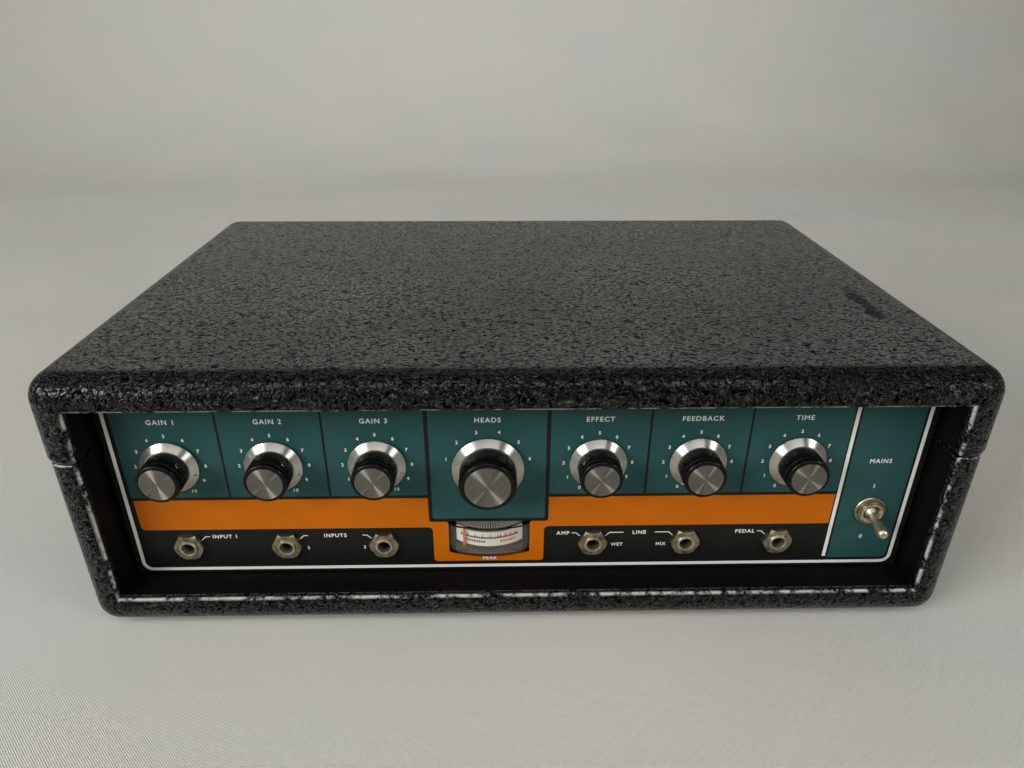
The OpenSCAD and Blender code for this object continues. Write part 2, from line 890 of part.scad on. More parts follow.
module tape_loop() {
    runs = [for (i = [0:2]) roller_places[(i + 1) % 3] - roller_places[i]];
    color("#4a2f22") translate([0, 0, up(tape_low_h)])
        band(roller_places, [loop_r, loop_r, loop_r], [for (r = runs) atan2(-r[0], r[1])], tape_t, tape_w);
}

module guide_roller(place) {
    color(bright) translate([place[0], place[1], up(tape_low_h)]) rotate_extrude() polygon([
        [shaft_r + fit, -2], [roller_r + 2.5, -2], [roller_r + 2.5, -0.5], [roller_r, -0.5],
        [roller_r, tape_w + 0.5], [roller_r + 2.5, tape_w + 0.5], [roller_r + 2.5, tape_w + 2],
        [shaft_r + fit, tape_w + 2]
    ]);
}

module guide_roller_left() { guide_roller(roller_places[0]); }
module guide_roller_right() { guide_roller(roller_places[1]); }
module guide_roller_rear() { guide_roller(roller_places[2]); }

module pinch_arm() {
    color(steel) {
        difference() {
            union() {
                at_pinch_pivot() rod(7, up(86), up(89.5));
                translate([capstan_x, pinch_y, 0]) rod(6, up(86), up(89.5));
                block([capstan_x, pinch_y - 5, up(86)], [pivot_x, pinch_y + 5, up(89.5)]);
            }
            at_pinch_pivot() rod(shaft_r + fit, up(85), up(91));
        }
        translate([capstan_x, pinch_y, 0]) rod(axle_r, up(89), up(104));
    }
}

module pinch_roller() {
    color(black) translate([capstan_x, pinch_y, 0]) tube(pinch_r, axle_r + fit, up(90.5), up(103));
}

module pinch_spring() {
    color(steel) at_pinch_pivot() tube(5.4, 3.4, up(90), up(97));
}

base_tray();
rubber_feet();
base_wood_screws();
base_hinge_leaves();
hinge_pins();
rear_plate();
cord_gland();
fuse_holder();
chassis();
case_screws();
front_panel();
pot_housings();
switch_housing();
panel_nuts();
jack_sockets();
meter_case();
meter_scale();
meter_movement();
toggle_housing();
toggle_nut();
transformer();
circuit_board();
motor_housing();
deck_plate();
deck_posts();
erase_head();
record_head();
play_heads();
roller_posts();
capstan_bearing();
thrust_bracket();
tape_loop();
drive_belt();
pinch_spring();
lid();
lid_hinge_leaves();
lid_wood_screws();
input_1_knob();
input_1_spindle();
input_2_knob();
input_2_spindle();
input_3_knob();
input_3_spindle();
mode_knob();
mode_spindle();
volume_knob();
volume_spindle();
repeat_knob();
repeat_spindle();
delay_knob();
delay_spindle();
toggle_lever();
meter_needle();
flywheel();
motor_pulley();
pinch_arm();
pinch_roller();
guide_roller_left();
guide_roller_right();
guide_roller_rear();
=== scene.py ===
import json
import math
from functools import partial

import bmesh
import bpy
from mathutils import Matrix, Vector


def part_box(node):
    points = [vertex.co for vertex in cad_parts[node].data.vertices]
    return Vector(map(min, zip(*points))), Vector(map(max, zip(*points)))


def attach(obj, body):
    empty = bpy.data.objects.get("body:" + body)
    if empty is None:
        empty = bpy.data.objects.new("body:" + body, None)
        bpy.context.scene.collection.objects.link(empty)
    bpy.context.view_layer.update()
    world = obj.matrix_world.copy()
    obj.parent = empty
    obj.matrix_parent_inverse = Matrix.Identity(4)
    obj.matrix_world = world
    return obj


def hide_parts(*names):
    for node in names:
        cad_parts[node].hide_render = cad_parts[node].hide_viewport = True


# The looks of a tape echo unit: a wooden case covered in black vinyl, with a printed control panel set back
# in its open front and a tape deck under its lid. Sizes are in metres unless a comment says millimetres.

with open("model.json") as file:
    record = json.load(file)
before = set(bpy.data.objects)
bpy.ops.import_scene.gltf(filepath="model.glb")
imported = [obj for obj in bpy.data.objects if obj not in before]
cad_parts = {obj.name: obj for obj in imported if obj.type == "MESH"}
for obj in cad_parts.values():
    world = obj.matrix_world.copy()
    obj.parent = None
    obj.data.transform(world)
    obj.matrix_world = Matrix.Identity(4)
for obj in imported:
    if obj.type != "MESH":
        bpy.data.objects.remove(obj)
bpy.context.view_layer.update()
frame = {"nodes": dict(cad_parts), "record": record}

MM = 0.001
nodes = frame["nodes"]

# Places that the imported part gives
base_low, base_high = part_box("base_tray")
lid_low, lid_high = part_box("lid")
panel_low, panel_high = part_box("front_panel")
deck_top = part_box("deck_plate")[1].z
foot_height = base_low.z
panel_front = panel_low.y
seam = base_high.z  # the joint between the two halves
jack_places = [Vector(m["pos_m"]) for m in frame["record"]["mounts"] if "jack" in m["name"]]
jack_radius = frame["record"]["mounts"][0]["dims"]["r_mm"] * MM

# The boards of the case
edge_radius = 13 * MM        # outer edges of the case
side_board = 17 * MM
top_board = 17 * MM
bottom_board = 19 * MM
inner_edge_radius = 3.6 * MM  # edges of the opening at the front
lip_radius = 1.6 * MM         # edges of the joint between the two halves
inner_x = base_high.x - side_board
inner_back = base_high.y - side_board
floor_top = foot_height + bottom_board
lid_under = lid_high.z - top_board

# Printing on the panel
ink_thick = 0.06 * MM
letter_thick = 0.1 * MM   # white lettering lies over the coloured ink
letter_bold = 0.06 * MM   # how far its strokes are spread
letter_space = 1.2

guide_rollers = ["guide_roller_left", "guide_roller_right", "guide_roller_rear"]

# The six controls that are alike, and the numbers on the dials: how many, and over how many degrees
small_controls = ["input_1", "input_2", "input_3", "volume", "repeat", "delay"]
dial_turn = 300
dial_numbers = 11
mode_step = 30
mode_numbers = 6


def srgb(colour):
    """An sRGB hex colour as linear red, green, blue and alpha."""
    parts = [int(colour[i:i + 2], 16) / 255 for i in (1, 3, 5)]
    linear = [p / 12.92 if p <= 0.04045 else ((p + 0.055) / 1.055) ** 2.4 for p in parts]
    return (*linear, 1.0)


# Every Mix node here mixes colours, and has them on these sockets
MIX_SOCKETS = {"A": 6, "B": 7}
MIX_OUT = 2


def add_node(tree, kind, inputs=None, **settings):
    """Adds a node with its settings. inputs gives each socket, by name or number, a value, an sRGB hex
    colour, another node's output, or another node, whose first output or mixed colour is then meant."""
    made = tree.nodes.new("ShaderNode" + kind)
    if kind == "Mix":
        made.data_type = "RGBA"
    for name, value in settings.items():
        setattr(made, name, value)
    for name, value in (inputs or {}).items():
        socket = made.inputs[MIX_SOCKETS.get(name, name) if kind == "Mix" else name]
        if isinstance(value, str):
            value = srgb(value)
        elif isinstance(value, bpy.types.Node):
            value = value.outputs[MIX_OUT if value.bl_idname == "ShaderNodeMix" else 0]
        if isinstance(value, bpy.types.NodeSocket):
            tree.links.new(value, socket)
        else:
            socket.default_value = value
    return made


def new_material(name):
    """An empty material, what adds nodes to it, and the place on the object that its patterns are drawn
    by."""
    material = bpy.data.materials.new(name)
    material.use_nodes = True
    material.node_tree.nodes.clear()
    add = partial(add_node, material.node_tree)
    return material, add, add("TexCoord").outputs["Object"]


def show(material, shader):
    """Ends a material with its shader."""
    add_node(material.node_tree, "OutputMaterial", {"Surface": shader})
    return material


def clouded(
        name, first, second, scale, detail, rough, coarse=0.5, span=None, bump=None, stretch=None, **shader):
    """A material that drifts between two colours, and between two roughnesses where it has two. scale,
    detail, coarse and stretch are its clouds'. span is the part of them that the colours take, and the most
    that the second colour gets. bump is how high they stand and how strongly that shows."""
    material, add, place = new_material(name)
    if stretch:
        place = add("Mapping", {"Vector": place, "Scale": stretch})
    clouds = add("TexNoise", {"Vector": place, "Scale": scale, "Detail": detail, "Roughness": coarse})
    share = clouds
    if span:
        share = add("MapRange", {
            "Value": clouds, "From Min": span[0], "From Max": span[1], "To Max": span[2]})
    if isinstance(rough, tuple):
        rough = add("MapRange", {"Value": clouds, "To Min": rough[0], "To Max": rough[1]})
    if bump:
        shader["Normal"] = add("Bump", {"Height": clouds, "Distance": bump[0], "Strength": bump[1]})
    shade = add("Mix", {0: share, "A": first, "B": second})
    return show(material, add("BsdfPrincipled", {"Base Color": shade, "Roughness": rough, **shader}))


def levant_vinyl(name, relief, worn=False):
    """Cloth-backed PVC, calendered with a levant grain: low pebbles 2.5 mm across with creases and pits
    between them and thin raised wrinkles over them. It gives a satin black. Its creases and pits are painted
    near-black and duller, as painted shade, and the crests of its wrinkles, where they don't face up, are
    painted a little lighter and shinier, a painted glint that catches threads of light. What faces up is
    painted grey, partly dust and partly a painted sheen, wiped off in a patch by the lid's right edge. Real
    creases are 0.3 mm wide; these are 0.7 mm so that they show. The worn one is rubbed pale along the turn
    of an edge."""
    pebble = 2.5 * MM
    pit = 1.8 * MM
    wiped_place = (188.5 * MM, -56 * MM, 0.0)
    wiped_size = (6 * MM, 28 * MM, 1.0)
    stretch = (0.75, 1.3, 0.7)  # the grain runs mostly along X
    edge_facing, edge_reach = -0.7, 0.24  # the normal's Y halfway round a front edge, and how far either way
    dome_high, crease_deep, wrinkle_high, pit_deep = 0.16 * MM, 0.22 * MM, 0.22 * MM, 0.14 * MM
    material, add, place = new_material(name)
    drawn = add("Mapping", {"Vector": place, "Scale": stretch})
    pull = add("TexNoise", {"Vector": drawn, "Scale": 0.5 / pebble, "Detail": 3.0, "Roughness": 0.6})
    centred = add("VectorMath", {0: pull.outputs["Color"], 1: (0.5, 0.5, 0.5)}, operation="SUBTRACT")
    pulled = add("VectorMath", {0: centred, "Scale": 2.2 * pebble}, operation="SCALE")
    warped = add("VectorMath", {0: drawn, 1: pulled}, operation="ADD")
    pebbles = add("TexVoronoi", {"Vector": warped, "Scale": 1 / pebble}, feature="DISTANCE_TO_EDGE")
    waves = add("TexNoise", {"Vector": warped, "Scale": 1 / pebble, "Detail": 1.0})
    off_middle = add("Math", {0: waves, 1: 0.5}, operation="SUBTRACT")
    ridge = add("Math", {0: off_middle}, operation="ABSOLUTE")
    pits = add("TexNoise", {"Vector": warped, "Scale": 1 / pit, "Detail": 1.0})
    height = add("Math", {0: waves, 1: dome_high * relief}, operation="MULTIPLY")
    # The mask built here is painted shade in the grain's creases and pits: it darkens their colour and dulls
    # their gloss
    clear_of_crease_shade = 1.0
    for line, low, high, deep in (
            (pebbles.outputs["Distance"], 0.0, 0.14, crease_deep), (pits, 0.39, 0.48, pit_deep),
            (ridge, 0.0, 0.035, -wrinkle_high)):
        slope = add("MapRange", {
            "Value": line, "From Min": low, "From Max": high}, interpolation_type="SMOOTHSTEP")
        height = add("Math", {0: slope, 1: deep * relief, 2: height}, operation="MULTIPLY_ADD")
        if deep < 0:
            continue
        clear = add("MapRange", {
            "Value": line, "From Min": low, "From Max": low + 0.8 * (high - low), "To Min": 0.02})
        clear_of_crease_shade = add("Math", {0: clear, 1: clear_of_crease_shade}, operation="MULTIPLY")
    bump = add("Bump", {"Height": height, "Distance": 1.0, "Strength": 1.0})
    # These clouds give the roughness, and the grey on faces that look up, which is partly dust and partly a
    # painted sheen
    dust = add("TexNoise", {"Vector": place, "Scale": 9.0, "Detail": 5.0, "Roughness": 0.6})
    facing = add("SeparateXYZ", {0: add("NewGeometry").outputs["Normal"]})
    up = add("MapRange", {"Value": facing.outputs["Z"], "From Min": 0.97, "From Max": 1.0})
    # dusty carries dust and a painted sheen together, on faces that look up
    dusty = add("Math", {0: up, 1: dust}, operation="MULTIPLY")
    from_wiped = add("VectorMath", {0: place, 1: wiped_place}, operation="SUBTRACT")
    in_wiped = add("VectorMath", {0: from_wiped, 1: wiped_size}, operation="DIVIDE")
    flat = add("VectorMath", {0: in_wiped, 1: (1.0, 1.0, 0.0)}, operation="MULTIPLY")
    far = add("VectorMath", {0: flat}, operation="LENGTH")
    smear = add("TexNoise", {"Vector": place, "Scale": 110.0, "Detail": 3.0})
    ragged = add("Math", {0: smear, 1: 2.6, 2: far.outputs["Value"]}, operation="MULTIPLY_ADD")
    kept = add("MapRange", {"Value": ragged, "From Min": 1.9, "From Max": 2.2, "To Min": 0.1})
    dusty = add("Math", {0: dusty, 1: kept}, operation="MULTIPLY")
    # Pebbles that face up are painted grey: partly dust, partly a painted sheen
    pebble_dust_and_sheen_colour = add("Mix", {0: dusty, "A": "#030304", "B": "#74726d"})
    # Creases and pits are painted near-black: painted shade in the grain's hollows
    surface = add("Mix", {0: clear_of_crease_shade, "A": "#020203", "B": pebble_dust_and_sheen_colour})
    # Wrinkle crests on faces that don't look up are painted a lighter grey, a painted glint, and given more
    # gloss
    crest_painted_glint_and_gloss = add("MapRange", {"Value": ridge, "From Max": 0.045, "To Min": 1.0, "To Max": 0.0})
    aside = add("Math", {0: 0.8, 1: up}, operation="SUBTRACT", use_clamp=True)
    bright = add("Math", {0: crest_painted_glint_and_gloss, 1: aside}, operation="MULTIPLY")
    # Painted glint: the crests take a lighter colour
    surface = add("Mix", {0: bright, "A": surface, "B": "#15161a"})
    rough = add("MapRange", {"Value": dust, "From Min": 0.3, "From Max": 0.7, "To Min": 0.12, "To Max": 0.22})
    # The painted crease shade also lowers the gloss in the creases
    glossy = add("Math", {0: clear_of_crease_shade, 1: kept}, operation="MULTIPLY")
    gloss = add("MapRange", {"Value": glossy, "To Min": 0.01, "To Max": 0.3})
    gloss = add("Math", {0: bright, 1: 0.7, 2: gloss}, operation="MULTIPLY_ADD")
    if worn:
        turn = add("Math", {0: facing.outputs["Y"], 1: edge_facing}, operation="SUBTRACT")
        from_turn = add("Math", {0: turn}, operation="ABSOLUTE")
        edge = add("MapRange", {"Value": from_turn, "From Max": edge_reach, "To Min": 1.0, "To Max": 0.0})
        rub = add("TexNoise", {"Vector": place, "Scale": 130.0, "Detail": 4.0, "Roughness": 0.75})
        patch = add("MapRange", {"Value": rub, "From Min": 0.43, "From Max": 0.55})
        rubbed = add("Math", {0: edge, 1: patch}, operation="MULTIPLY")
        surface = add("Mix", {0: rubbed, "A": surface, "B": "#c4c2bb"})
    return show(material, add("BsdfPrincipled", {
        "Base Color": surface, "Roughness": rough, "IOR": 1.5, "Specular IOR Level": gloss, "Normal": bump}))


def lining_cloth():
    """The same vinyl turned in round the opening and pressed flat: smooth and black with faint ripples."""
    return clouded("lining_cloth", "#030304", "#08080a", 120.0, 4.0, 0.5, bump=(0.25 * MM, 0.6), IOR=1.2)


def lauan_plywood():
    """Rotary-cut lauan plywood, sanded and left bare: red-brown veneer with short open pores along X."""
    pore_width = 0.9 * MM
    pore_length = 22 * MM
    material, add, place = new_material("lauan_plywood")
    drawn = add("Mapping", {"Vector": place, "Scale": (pore_width / pore_length, 1.0, 1.0)})
    pores = add("TexNoise", {"Vector": drawn, "Scale": 1 / pore_width, "Detail": 3.0, "Roughness": 0.65})
    figure_place = add("Mapping", {"Vector": place, "Scale": (0.08, 1.0, 1.0)})
    figure = add("TexNoise", {"Vector": figure_place, "Scale": 45.0, "Detail": 3.0, "Distortion": 0.6})
    veneer = add("Mix", {0: figure, "A": "#8a6144", "B": "#b98e67"})
    dark = add("MapRange", {"Value": pores, "From Min": 0.56, "From Max": 0.72, "To Max": 0.7})
    colour = add("Mix", {0: dark, "A": veneer, "B": "#4d3222"})
    bump = add("Bump", {"Height": dark, "Distance": 0.1 * MM, "Strength": 0.5}, invert=True)
    return show(material, add("BsdfPrincipled", {
        "Base Color": colour, "Roughness": 0.72, "IOR": 1.5, "Normal": bump}))


def printed_enamel(name, colour, deep_colour, roughness=0.34):
    """Enamel ink, silk-screened on sheet aluminium and baked: an even satin film with a faint orange peel,
    a little deeper in colour where the film is thick."""
    peel = 1.2 * MM
    material, add, place = new_material(name)
    film = add("TexNoise", {"Vector": place, "Scale": 14.0, "Detail": 4.0})
    shade = add("Mix", {0: film, "A": deep_colour, "B": colour})
    ripple = add("TexNoise", {"Vector": place, "Scale": 1 / peel, "Detail": 1.0})
    bump = add("Bump", {"Height": ripple, "Distance": 0.02 * MM, "Strength": 0.4})
    haze = add("MapRange", {"Value": film, "To Min": roughness - 0.05, "To Max": roughness + 0.08})
    return show(material, add("BsdfPrincipled", {
        "Base Color": shade, "Roughness": haze, "IOR": 1.25, "Normal": bump}))


def moulded_black():
    """Black phenolic, compression-moulded in a polished tool: deep black with a fairly sharp gloss and fine
    dust."""
    return clouded(
        "moulded_black", "#030303", "#2a2926", 900.0, 2.0, (0.18, 0.38), span=(0.6, 0.75, 0.3), IOR=1.3)


def spun_aluminium():
    """Aluminium, turned on a lathe and clear-lacquered. The tool's rings spread every highlight across them,
    so it shows bright and dark sectors that meet at the knob's axis. The face disc is cut coarser than the
    skirt, and its colour is painted darker than the skirt's: painted shade for the dark reflections on it.
    Real rings lie 0.05 mm apart; these are 0.4 mm."""
    skirt_width = 28 * MM
    ring = 0.4 * MM
    disc_share = 0.05
    material, add, _ = new_material("spun_aluminium")
    coords = add("TexCoord")
    centred = add("VectorMath", {0: coords.outputs["Generated"], 1: (0.5, 0.5, 0.5)}, operation="SUBTRACT")
    flat = add("VectorMath", {0: centred, 1: (1.0, 0.0, 1.0)}, operation="MULTIPLY")
    radius = add("VectorMath", {0: flat}, operation="LENGTH")
    turns = add("Math", {0: radius.outputs["Value"], 1: skirt_width / ring}, operation="MULTIPLY")
    rings = add("TexNoise", {"W": turns, "Scale": 1.0, "Detail": 2.0}, noise_dimensions="1D")
    bump = add("Bump", {"Height": rings, "Distance": 0.02 * MM, "Strength": 0.2})
    split = add("SeparateXYZ", {0: coords.outputs["Generated"]})
    on_skirt = add("Math", {0: split.outputs["Y"], 1: disc_share}, operation="GREATER_THAN")
    skirt = add("Mix", {0: rings, "A": "#c9c5bc", "B": "#e6e2d9"})
    # The face disc's colour is painted darker than the skirt's: painted shade for the dark reflections it
    # shows
    disc = add("Mix", {0: rings, "A": "#55524c", "B": "#a5a197"})
    shade = add("Mix", {0: on_skirt, "A": disc, "B": skirt})
    rough = add("MapRange", {"Value": on_skirt, "To Min": 0.42, "To Max": 0.36})
    spread = add("MapRange", {"Value": on_skirt, "To Min": 1.0, "To Max": 0.9})
    around = add("Tangent", direction_type="RADIAL", axis="Y")
    return show(material, add("BsdfPrincipled", {
        "Base Color": shade, "Metallic": 1.0, "Roughness": rough, "Anisotropic": spread,
        "Anisotropic Rotation": 0.25, "Tangent": around, "Normal": bump}))


def tarnished_nickel(name, bright, dull, roughness):
    """Nickel plate on brass, decades old: warm grey with a brown haze in patches and a soft shine."""
    return clouded(
        name, bright, dull, 260.0, 5.0, (roughness - 0.1, roughness + 0.2), coarse=0.65,
        span=(0.38, 0.66, 1.0), bump=(0.04 * MM, 0.4), Metallic=1.0)


def zinc_plated_steel():
    """Cold-rolled steel, bright zinc plated: cool grey with faint rolling marks along X and a soft shine."""
    mark = 0.8 * MM
    material, add, place = new_material("zinc_plated_steel")
    drawn = add("Mapping", {"Vector": place, "Scale": (0.03, 1.0, 1.0)})
    marks = add("TexNoise", {"Vector": drawn, "Scale": 1 / mark, "Detail": 3.0})
    bloom = add("TexNoise", {"Vector": place, "Scale": 60.0, "Detail": 4.0})
    shade = add("Mix", {0: bloom, "A": "#8d8f90", "B": "#b9babb"})
    rough = add("MapRange", {"Value": marks, "To Min": 0.28, "To Max": 0.48})
    return show(material, add("BsdfPrincipled", {"Base Color": shade, "Metallic": 1.0, "Roughness": rough}))


def turned_brass():
    """Free-cutting brass, turned and left bare: yellow with brown tarnish and a shine that comes and goes."""
    return clouded("turned_brass", "#c9a45c", "#85683a", 180.0, 4.0, (0.2, 0.42), Metallic=1.0)


def clear_styrene():
    """Crystal polystyrene, injection moulded: clear with sharp reflections and a faint haze of hairline
    scratches. Lamps reach what is inside it through the see-through shader."""
    material, add, place = new_material("clear_styrene")
    scratch = add("TexNoise", {"Vector": place, "Scale": 400.0, "Detail": 3.0})
    rough = add("MapRange", {"Value": scratch, "To Min": 0.01, "To Max": 0.08})
    glass = add("BsdfPrincipled", {
        "Base Color": "#e9e8e4", "Roughness": rough, "IOR": 1.59, "Transmission Weight": 1.0})
    see_through = add("BsdfTransparent", {"Color": "#e4e2dc"})
    path = add("LightPath")
    return show(material, add("MixShader", {0: path.outputs["Is Shadow Ray"], 1: glass, 2: see_through}))


def flat_plastic(name, colour, other, roughness=0.45):
    """Pigmented styrene, injection moulded: an even satin colour, slightly clouded."""
    return clouded(name, colour, other, 150.0, 3.0, (roughness - 0.08, roughness + 0.08), IOR=1.55)


def moulded_rubber():
    """Vulcanised rubber, moulded: matt charcoal with a dusty bloom and a fine pitted skin."""
    return clouded("moulded_rubber", "#141414", "#2b2a29", 300.0, 5.0, 0.8, bump=(0.1 * MM, 0.5), IOR=1.52)


def hammered_paint():
    """Hammer-finish enamel, sprayed on sheet steel: silver grey in small shiny dimples 2.5 mm across."""
    dimple = 2.5 * MM
    material, add, place = new_material("hammered_paint")
    dimples = add("TexVoronoi", {"Vector": place, "Scale": 1 / dimple}, feature="SMOOTH_F1")
    bump = add("Bump", {"Height": dimples.outputs["Distance"], "Distance": 0.25 * MM, "Strength": 0.6})
    shade = add("Mix", {0: dimples.outputs["Distance"], "A": "#6b6f70", "B": "#8f9394"})
    return show(material, add("BsdfPrincipled", {
        "Base Color": shade, "Metallic": 0.35, "Roughness": 0.4, "IOR": 1.5, "Normal": bump}))


def oxide_tape():
    """Polyester film with an iron oxide coating: glossy dark brown with fine streaks along the run."""
    return clouded(
        "oxide_tape", "#3a2318", "#573626", 2500.0, 2.0, 0.25, stretch=(0.1, 0.1, 1.0), IOR=1.6)


def lacquered_laminations():
    """Silicon steel sheets 0.5 mm thick, stacked along Y and lacquered black, with coils wrapped in brown
    paper in front of the stack and behind it. The sheets are drawn 1 mm thick so that they show."""
    sheet = 1.0 * MM
    core_low, core_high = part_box("transformer")
    coil_deep = 10 * MM
    material, add, place = new_material("lacquered_laminations")
    split = add("SeparateXYZ", {0: place})
    sheets = add("Math", {0: split.outputs["Y"], 1: 2 * math.pi / sheet}, operation="MULTIPLY")
    wave = add("Math", {0: sheets}, operation="SINE")
    stack = add("MapRange", {"Value": wave, "From Min": -1.0})
    steel = add("Mix", {0: stack, "A": "#141414", "B": "#3a3a3b"})
    fibres = add("TexNoise", {"Vector": place, "Scale": 300.0, "Detail": 4.0})
    paper = add("Mix", {0: fibres, "A": "#7d5a2e", "B": "#a8834c"})
    middle = add("Math", {0: split.outputs["Y"], 1: (core_low.y + core_high.y) / 2}, operation="SUBTRACT")
    away = add("Math", {0: middle}, operation="ABSOLUTE")
    core_half = (core_high.y - core_low.y) / 2 - coil_deep
    coil = add("Math", {0: away, 1: core_half + 0.05 * MM}, operation="GREATER_THAN")
    colour = add("Mix", {0: coil, "A": steel, "B": paper})
    bump = add("Bump", {"Height": stack, "Distance": 0.1 * MM, "Strength": 0.5})
    return show(material, add("BsdfPrincipled", {
        "Base Color": colour, "Roughness": 0.5, "IOR": 1.5, "Normal": bump}))


def populated_board():
    """Paper phenolic board, punched: yellow-brown with darker copper runs under its lacquer. What stands on
    it has the blue, black and red sleeves of capacitors."""
    board_top = 32.7 * MM
    run = 5 * MM
    material, add, place = new_material("populated_board")
    split = add("SeparateXYZ", {0: place})
    runs = add("TexVoronoi", {"Vector": place, "Scale": 1 / run}, feature="DISTANCE_TO_EDGE")
    copper = add("Math", {0: runs.outputs["Distance"], 1: 0.12}, operation="LESS_THAN")
    board = add("Mix", {0: copper, "A": "#9a7a3f", "B": "#6f5a2a"})
    sleeves = add("TexVoronoi", {"Vector": place, "Scale": 40.0})
    sleeve = add("Mix", {0: sleeves.outputs["Distance"], "A": "#20365f", "B": "#16171a"})
    above = add("Math", {0: split.outputs["Z"], 1: board_top}, operation="GREATER_THAN")
    colour = add("Mix", {0: above, "A": board, "B": sleeve})
    return show(material, add("BsdfPrincipled", {"Base Color": colour, "Roughness": 0.4, "IOR": 1.5}))


def cotton_backdrop():
    """Plain-woven cotton sheet, washed and not ironed: pale grey with a 1.2 mm weave, drawn coarser than the
    real 0.5 mm so that it shows, slubs, and slow folds."""
    thread = 1.2 * MM
    material, add, place = new_material("cotton_backdrop")
    split = add("SeparateXYZ", {0: place})
    folds = add("TexNoise", {"Vector": place, "Scale": 2.2, "Detail": 1.5, "Distortion": 0.5})
    stains = add("TexNoise", {"Vector": place, "Scale": 4.5, "Detail": 2.0, "Distortion": 0.6})
    across = add("Math", {0: split.outputs["X"], 1: 2 * math.pi / thread}, operation="MULTIPLY")
    along = add("Math", {0: split.outputs["Y"], 1: 2 * math.pi / thread}, operation="MULTIPLY")
    warp = add("Math", {0: across}, operation="SINE")
    weft = add("Math", {0: along}, operation="SINE")
    weave = add("Math", {0: warp, 1: weft}, operation="MULTIPLY")
    slubs = add("TexNoise", {"Vector": place, "Scale": 450.0, "Detail": 3.0})
    uneven = add("Math", {0: slubs, 1: 1.6}, operation="MULTIPLY")
    cloth = add("Math", {0: weave, 1: uneven}, operation="MULTIPLY")
    weave_bump = add("Bump", {"Height": cloth, "Distance": 0.25 * MM, "Strength": 0.8})
    fold_bump = add("Bump", {"Height": folds, "Distance": 45 * MM, "Strength": 0.6, "Normal": weave_bump})
    warmth = add("MapRange", {"Value": stains, "From Min": 0.3, "From Max": 0.7})
    tone = add("Mix", {0: warmth, "A": "#d9dad4", "B": "#e0dccf"})
    thin = add("MapRange", {"Value": cloth, "From Min": -0.8, "From Max": 0.8, "To Min": 0.45, "To Max": 0.0})
    shade = add("Mix", {0: thin, "A": tone, "B": "#908f87"})
    return show(material, add("BsdfPrincipled", {
        "Base Color": shade, "Roughness": 0.9, "IOR": 1.45, "Normal": fold_bump}))


vinyl = levant_vinyl("levant_vinyl", relief=1.0)
rubbed_vinyl = levant_vinyl("rubbed_vinyl_edge", relief=0.6, worn=True)
lining = lining_cloth()
plywood = lauan_plywood()
black_enamel = printed_enamel("black_enamel", "#1a1b17", "#121310")
teal_enamel = printed_enamel("teal_enamel", "#2a5150", "#224644")
orange_enamel = printed_enamel("orange_enamel", "#bf6300", "#b45c00")
white_ink = printed_enamel("white_ink", "#e4e4de", "#d8d8d1", roughness=0.5)
black_plastic = moulded_black()
aluminium = spun_aluminium()
nickel = tarnished_nickel("tarnished_nickel", bright="#b0a68e", dull="#6b634b", roughness=0.34)
machined_alloy = tarnished_nickel("machined_alloy", bright="#c9c9c6", dull="#a4a39f", roughness=0.26)
bright_nickel = tarnished_nickel("bright_nickel", bright="#ded6c4", dull="#a0957c", roughness=0.34)
steel = zinc_plated_steel()
brass = turned_brass()
clear_plastic = clear_styrene()
white_plastic = flat_plastic("white_styrene", "#a9a7a0", "#9b9992")
grey_plastic = flat_plastic("grey_styrene", "#2b2a2b", "#3a3939")
card = flat_plastic("printed_card", "#dedbd2", "#e4e1d9", roughness=0.7)
card_black = flat_plastic("card_black_ink", "#24221f", "#1a1916", roughness=0.6)
card_red = flat_plastic("card_red_ink", "#8f2320", "#a02b25", roughness=0.6)
needle_plastic = flat_plastic("needle_orange", "#c8571e", "#d9662a")
rubber = moulded_rubber()
deck_paint = hammered_paint()
tape = oxide_tape()
laminations = lacquered_laminations()
board = populated_board()
case_finishes = [vinyl, rubbed_vinyl, lining, plywood]

# Pieces


def new_piece(name, mesh, body, materials, replaced=()):
    """A mesh as a piece of the object: its finish, the body that it rides on and the nodes that it stands
    for."""
    piece = add_object(mesh, name)
    for i, material in enumerate(materials):
        if i < len(mesh.materials):
            mesh.materials[i] = material
        else:
            mesh.materials.append(material)
    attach(piece, body)
    if replaced:
        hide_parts(*replaced)
    return piece


def smooth(mesh, sharp_over=35):
    """Smooth shading, with edges that turn by more than that many degrees left sharp."""
    mesh.shade_smooth()
    mesh.set_sharp_from_angle(angle=math.radians(sharp_over))
    return mesh


def mesh_from(shape, name):
    mesh = bpy.data.meshes.new(name)
    bmesh.ops.remove_doubles(shape, verts=shape.verts, dist=1e-7)
    bmesh.ops.recalc_face_normals(shape, faces=shape.faces)
    shape.to_mesh(mesh)
    shape.free()
    return mesh


def evaluated_mesh(thing):
    """A copy of an object's mesh with its modifiers applied. The object itself is deleted."""
    bpy.context.view_layer.update()
    found = thing.evaluated_get(bpy.context.evaluated_depsgraph_get())
    mesh = bpy.data.meshes.new_from_object(found)
    bpy.data.objects.remove(thing)
    return mesh


def add_object(data, name="work"):
    """An object in the scene, to work on or to keep."""
    thing = bpy.data.objects.new(name, data)
    bpy.context.scene.collection.objects.link(thing)
    return thing


def opened(mesh):
    """A mesh as a shape to work on."""
    shape = bmesh.new()
    shape.from_mesh(mesh)
    return shape


def shape_of(curve, place):
    """What a curve draws as a shape to work on, moved to a place."""
    mesh = evaluated_mesh(add_object(curve))
    shape = opened(mesh)
    bpy.data.meshes.remove(mesh)
    bmesh.ops.translate(shape, verts=shape.verts, vec=place)
    return shape


def add_line(curve, points, closed=False):
    """Straight lines through points, in metres, as part of a curve."""
    spline = curve.splines.new("POLY")
    spline.points.add(len(points) - 1)
    spline.use_cyclic_u = closed
    for place, point in zip(spline.points, points):
        place.co = (*point, 1)


